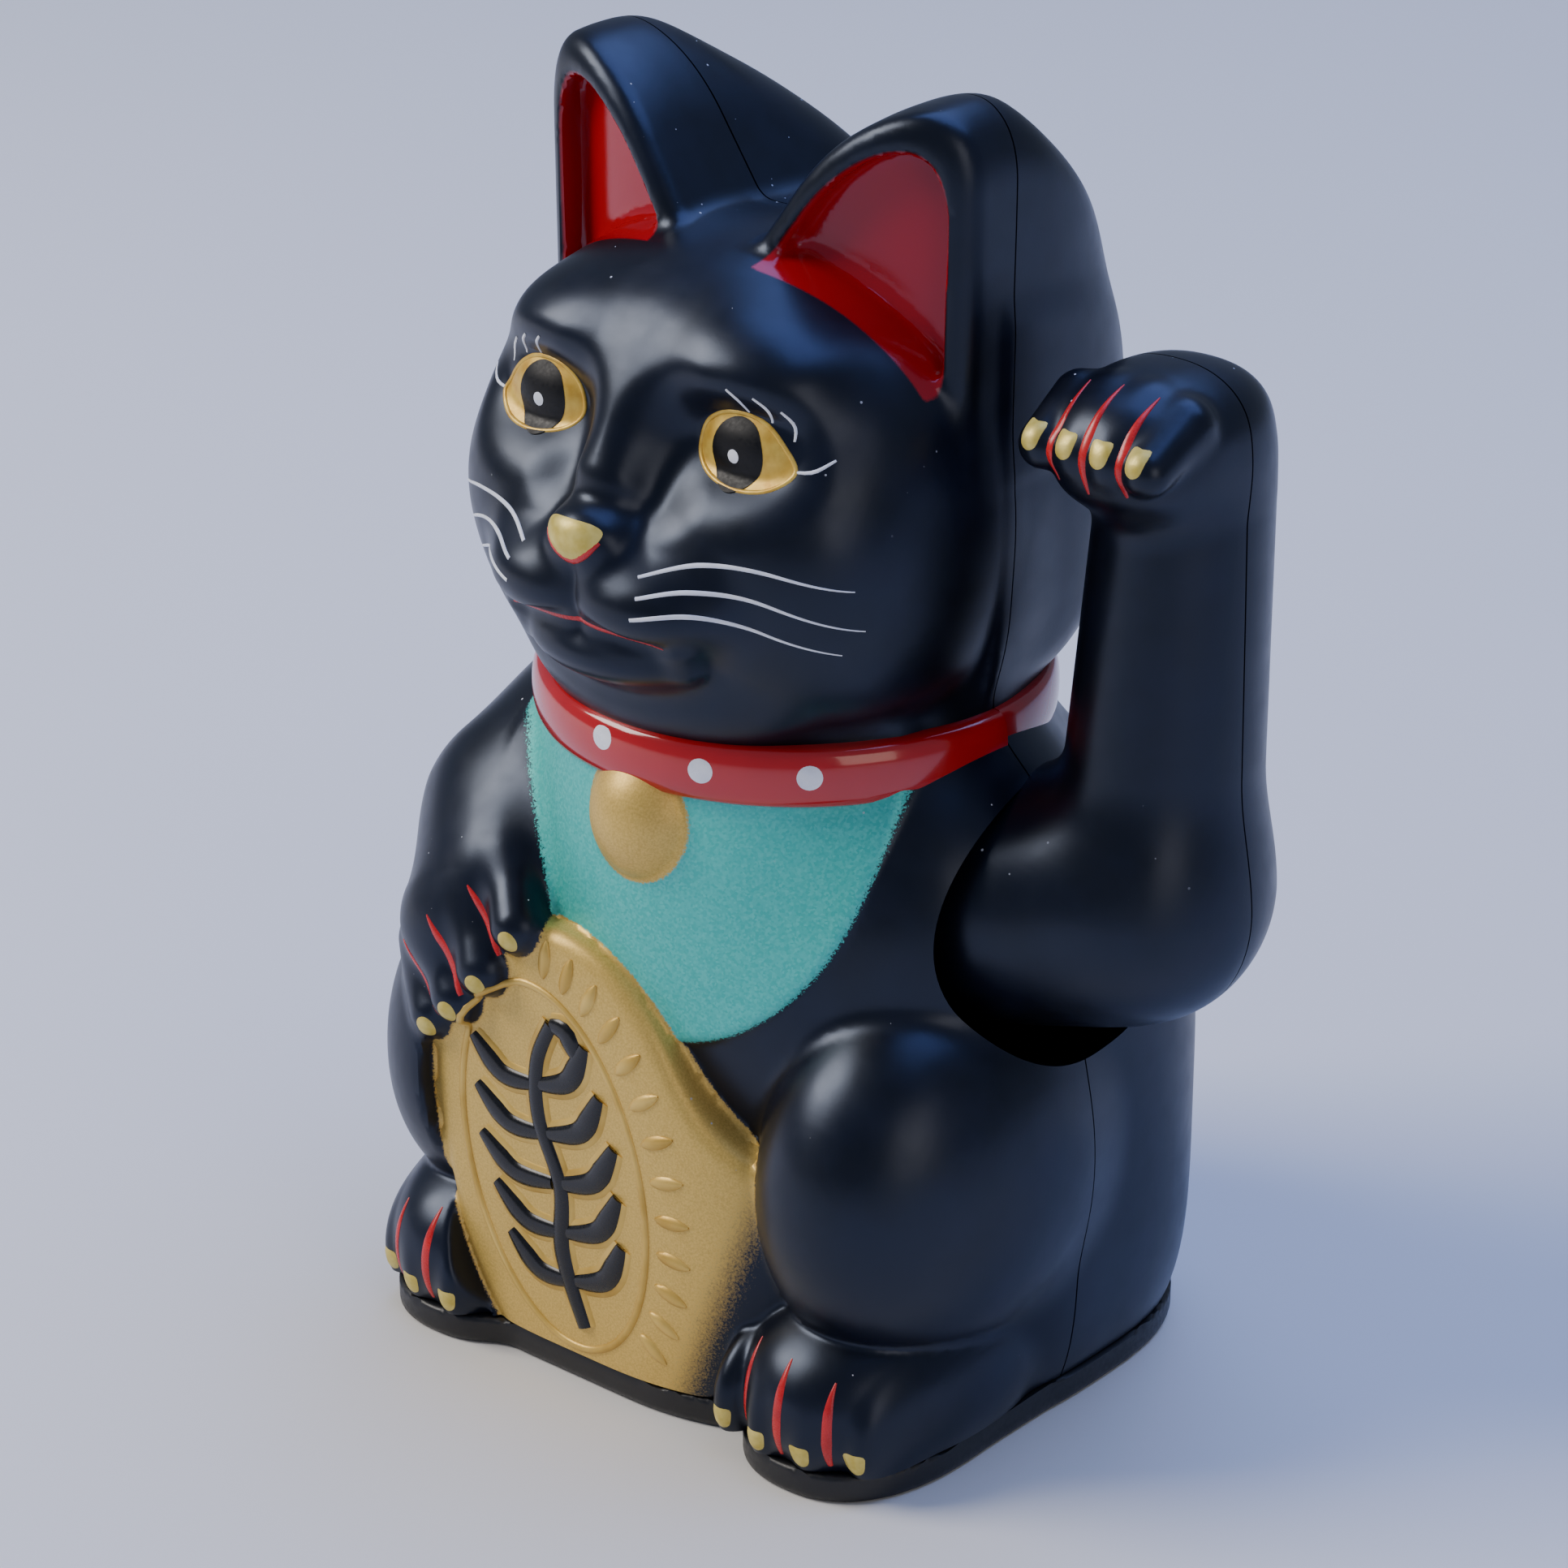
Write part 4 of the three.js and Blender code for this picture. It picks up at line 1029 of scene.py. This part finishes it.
def shell_finish():
    # The blue specular tint colours every reflection on the lacquer blue, a painted blue sky
    # reflection.
    material, tree, shader = new_finish("sprayed_shell", Specular_Tint=(0.62, 0.74, 1.0, 1))
    grit = noise(tree, 0.35, 3, 0.7)
    speckle = fade(tree, grit, 0.3, 0.7, -0.6, 0.6)

    def area(name, soft, speckled):
        out = add(tree, "Attribute", attribute_name=name).outputs["Fac"]
        moved = work_out(tree, "MULTIPLY_ADD", speckle, speckled, out)
        return fade(tree, moved, -soft, soft, 1, 0)

    bib, gold, ear = area("bib", 0.12, 0.7), area("gold", 0.12, 0.35), area("ear", 0.2, 0.1)
    mist = add(tree, "Attribute", attribute_name="overspray").outputs["Fac"]
    mist = work_out(tree, "MULTIPLY_ADD", speckle, 3.4, mist)
    gold = work_out(tree, "MULTIPLY", gold, fade(tree, mist, -3, 2.4, 1, 0))
    cloud = noise(tree, 14, 3)
    pearl = fade(tree, cells(tree, 0.4, out="Color"), 0.2, 0.9)
    bib_colour = mix(tree, fade(tree, noise(tree, 30, 1), 0.3, 0.7, 0.3, 0.6), bib_deep, bib_light)
    bib_colour = mix(tree, fade(tree, pearl, 0, 1, 0, 0.35), bib_colour, linear("#7fe6d8"))
    gold_colour = mix(tree, fade(tree, grit, 0.35, 0.65), gold_deep, gold_light)
    gold_colour = mix(tree, 0.55, gold_colour, gold_light)
    colour = mix(tree, fade(tree, cloud, 0.4, 0.6), black, black_painted_blue_sheen)
    colour = mix(tree, bib, colour, bib_colour)
    colour = mix(tree, gold, colour, gold_colour)
    colour = mix(tree, ear, colour, ear_red)
    dust_cell = cells(tree, 3.2)
    dust_pick = add(tree, "SeparateColor", {0: cells(tree, 3.2, out="Color")}).outputs[0]
    dust = work_out(tree, "LESS_THAN", dust_cell, work_out(tree, "MULTIPLY", dust_pick, 0.065))
    facing = add(tree, "SeparateXYZ", {0: add(tree, "NewGeometry").outputs["Normal"]}).outputs[2]
    dust = work_out(tree, "MULTIPLY", dust, fade(tree, facing, 0.1, 0.7))
    colour = mix(tree, dust, colour, dust_white)
    tree.links.new(colour, shader.inputs["Base Color"])
    metal = work_out(tree, "MULTIPLY_ADD", gold, 0.4, work_out(tree, "MULTIPLY", bib, 0.2))
    tree.links.new(metal, shader.inputs["Metallic"])
    rough = fade(tree, noise(tree, 5, 3), 0.3, 0.7, 0.30, 0.37)
    rough = mix(tree, bib, rough, (0.42, 0.42, 0.42, 1))
    rough = mix(tree, gold, rough, (0.45, 0.45, 0.45, 1))
    rough = mix(tree, ear, rough, (0.12, 0.12, 0.12, 1))
    rough = mix(tree, dust, rough, (0.9, 0.9, 0.9, 1))
    tree.links.new(rough, shader.inputs["Roughness"])
    peel = work_out(tree, "MULTIPLY_ADD", noise(tree, 1.6, 1), 0.3, grit)
    bump(tree, shader, peel, 0.012, 0.6)
    return material


sprayed_shell = shell_finish()
for piece in shells:
    piece.data.materials.clear()
    piece.data.materials.append(sprayed_shell)


# %% [markdown]
# ### Enamels and moulded parts
# The same small recipe makes the other finishes: a colour that wanders a little between two shades,
# a roughness that wanders with it, and a fine bump at the size of the real grain.

# %% A plain finish with a grain
def grained(name, dark, light, rough, metal=0.0, cloud_mm=6.0, grain_mm=0.5, depth_mm=0.01, **more):
    material, tree, shader = new_finish(name, Metallic=metal, **more)
    cloud = noise(tree, cloud_mm, 3)
    grain = noise(tree, grain_mm, 2)
    shade = fade(tree, cloud, 0.3, 0.7)
    tree.links.new(mix(tree, shade, linear(dark), linear(light)), shader.inputs["Base Color"])
    wander = fade(tree, grain, 0.3, 0.7, rough * 0.85, rough * 1.15)
    tree.links.new(wander, shader.inputs["Roughness"])
    bump(tree, shader, grain, depth_mm, 0.5)
    return material


finishes = {
    "white_enamel_and_painted_glint": grained("white_enamel_and_painted_glint", "#dfe4ee", "#f4f6fa", 0.25, cloud_mm=3),
    "red_enamel": grained("red_enamel", "#b3161c", "#cf2424", 0.28, cloud_mm=3),
    "gold_enamel": grained("gold_enamel", "#c89a34", "#e8c45a", 0.4, 0.3,
                           cloud_mm=2.5, grain_mm=0.3),
    "claw_enamel": grained("claw_enamel", "#c7b04a", "#e0cd72", 0.4, 0.25,
                           cloud_mm=2, grain_mm=0.3),
    "coin_bronze": grained("coin_bronze", "#bf9840", "#e2bf66", 0.42, 0.4,
                           cloud_mm=8, grain_mm=0.35),
    "pupil_black": grained("pupil_black", "#050506", "#0a0a0c", 0.26, cloud_mm=3),
    "eye_black": grained("eye_black", "#030304", "#07070a", 0.45, cloud_mm=3,
                         Specular_IOR_Level=0.3),
    "collar_red": grained("collar_red", "#a80f16", "#bd161c", 0.14, cloud_mm=20, grain_mm=2.5,
                          depth_mm=0.02, Coat_Weight=0.5, Coat_Roughness=0.05),
    "polystyrene": grained("moulded_polystyrene", "#121316", "#17181c", 0.42, grain_mm=0.7),
    "white_plastic": grained("moulded_acetal", "#d8d8d2", "#e6e6e0", 0.4, grain_mm=0.7),
    "steel": grained("drawn_steel", "#8c8f93", "#a9acb0", 0.32, 1.0, grain_mm=0.4),
    "plated": grained("nickel_plate", "#b9b7ae", "#cfcdc5", 0.22, 1.0, grain_mm=0.6),
    "magnet": grained("sintered_ferrite", "#26262a", "#333338", 0.6, 0.3, grain_mm=0.25,
                      depth_mm=0.02),
    "can": grained("aluminium_can", "#23324f", "#2b3d61", 0.35, 0.0, grain_mm=0.6),
    "cell_sleeve": grained("printed_sleeve", "#24406e", "#2c4b80", 0.3, grain_mm=0.8),
    "red_insulation": grained("red_pvc", "#a61b1b", "#bd2a2a", 0.45, grain_mm=0.4),
    "epoxy": grained("epoxy_case", "#1b1b1d", "#232326", 0.5, grain_mm=0.3),
    "black_insulation": grained("black_pvc", "#151515", "#202020", 0.5, grain_mm=0.4),
}


# %% Copper winding and circuit board
def banded(name, dark, light, wave_mm, depth_mm, rough, metal, axis):
    """Parallel bands, one for every 2 pi times wave_mm: turns of wire, or the weave of a board."""
    material, tree, shader = new_finish(name, Metallic=metal, Roughness=rough)
    place = add(tree, "TexCoord").outputs["Object"]
    wave = add(tree, "TexWave", {"Vector": place, "Scale": per_mm(20 * wave_mm), "Distortion": 0.3},
               bands_direction=axis).outputs[1]
    tree.links.new(mix(tree, wave, linear(dark), linear(light)), shader.inputs["Base Color"])
    bump(tree, shader, wave, depth_mm, 0.8)
    return material


finishes["copper"] = banded("enamelled_copper", "#7a3b1c", "#c9743c", 0.5, 0.1, 0.3, 1.0, "Z")
finishes["board"] = banded("glass_epoxy_board", "#2f5a34", "#3f7346", 0.9, 0.02, 0.4, 0.0, "X")

# %% Give each new piece its finish and its body
looks = {
    "eye_gold": ("gold_enamel", "body", None), "eye_black": ("eye_black", "body", "black_paint"),
    "white_enamel_and_painted_glint": ("white_enamel_and_painted_glint", "body", None),
    "red_enamel": ("red_enamel", "body", "red_gloss"),
    "claw_gold": ("claw_enamel", "body", None), "paw_red": ("red_enamel", "arm", "red_gloss"),
    "paw_claws": ("claw_enamel", "arm", None), "coin_gold": ("coin_bronze", "body", None),
    "coin_black": ("pupil_black", "body", "black_paint"),
}
for name, (finish, body, slot) in looks.items():
    pieces[name].data.materials.append(finishes[finish])
    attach(pieces[name], body)
for piece, body, node in ((cat_front, "body", "front_shell"), (cat_rear, "body", "rear_shell"),
                          (arm_front, "arm", "arm_front_shell"),
                          (arm_rear, "arm", "arm_rear_shell")):
    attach(piece, body)
    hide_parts(node)
for piece, node in ((collar_front, "collar_front"), (collar_rear, "collar_rear")):
    piece.data.materials.append(finishes["collar_red"])
    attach(piece, "body")
    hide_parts(node)
plate.data.materials.clear()
plate.data.materials.append(finishes["polystyrene"])
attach(plate, "body")
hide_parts("base_plate")
collar_dots.data.materials.append(finishes["white_enamel_and_painted_glint"])
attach(collar_dots, "body")

# %% Finish the working parts that stay
worked = {
    "polystyrene": ("battery_door", "drive_frame", "switch_body", "arm_axle"),
    "white_plastic": ("coil_bobbin", "pendulum_lever", "switch_knob"),
    "steel": ("battery_spring", "counterweight", "shell_screw_1", "shell_screw_2", "shell_screw_3",
              "shell_screw_4", "frame_screw_1", "frame_screw_2", "board_screw_1", "board_screw_2",
              "axle_ring_1", "axle_ring_2"),
    "plated": ("contact_button_end", "contact_spring_end"), "magnet": ("pendulum_magnet",),
    "can": ("capacitor",), "epoxy": ("transistor",), "cell_sleeve": ("battery_cell",),
    "copper": ("coil_winding",), "board": ("circuit_board",), "red_insulation": ("wire_red",),
    "black_insulation": ("wire_black",),
}
for finish, names in worked.items():
    for name in names:
        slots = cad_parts[name].data.materials
        for k in range(len(slots)):
            slots[k] = finishes[finish]
        if not slots:
            slots.append(finishes[finish])
print(sum(len(names) for names in worked.values()), "working parts finished")

# %% [markdown]
# ## Floor and light
# A plain pale floor, a broad soft key from the upper left, a cool fill from above for the blue
# sheen on the black lacquer, and a weak warm fill from the right.

# %% Floor
bm = bmesh.new()
bmesh.ops.create_grid(bm, x_segments=1, y_segments=1, size=6)
floor = from_bmesh("floor", bm)
floor_finish, tree, shader = new_finish("pale_floor", Roughness=0.75)
tree.links.new(mix(tree, noise(tree, 300, 2), linear("#e2e0dc"), linear("#e9e7e3")),
               shader.inputs["Base Color"])
floor.data.materials.append(floor_finish)


# %% Lights
def soft_light(name, place, size, power, colour):
    data = bpy.data.lights.new(name, "AREA")
    data.shape, data.size, data.size_y = "RECTANGLE", size[0], size[1]
    data.energy, data.color = power, linear(colour)[:3]
    lamp = bpy.data.objects.new(name, data)
    place = Vector(place)
    lamp.location = place
    lamp.rotation_euler = (place - Vector((0, 0, 0.1))).to_track_quat("Z", "Y").to_euler()
    bpy.context.scene.collection.objects.link(lamp)


soft_light("key", (-0.9, -0.7, 1.0), (0.7, 0.7), 20, "#fff8f0")
soft_light("sky", (0.1, 0.5, 1.5), (1.6, 1.2), 24, "#8fadff")
soft_light("fill", (1.3, -0.5, 0.5), (0.6, 0.8), 3, "#ffeedd")

world = bpy.data.worlds.new("room")
world.use_nodes = True
world.node_tree.nodes["Background"].inputs[0].default_value = linear("#a3b0cc")
world.node_tree.nodes["Background"].inputs[1].default_value = 0.5
bpy.context.scene.world = world
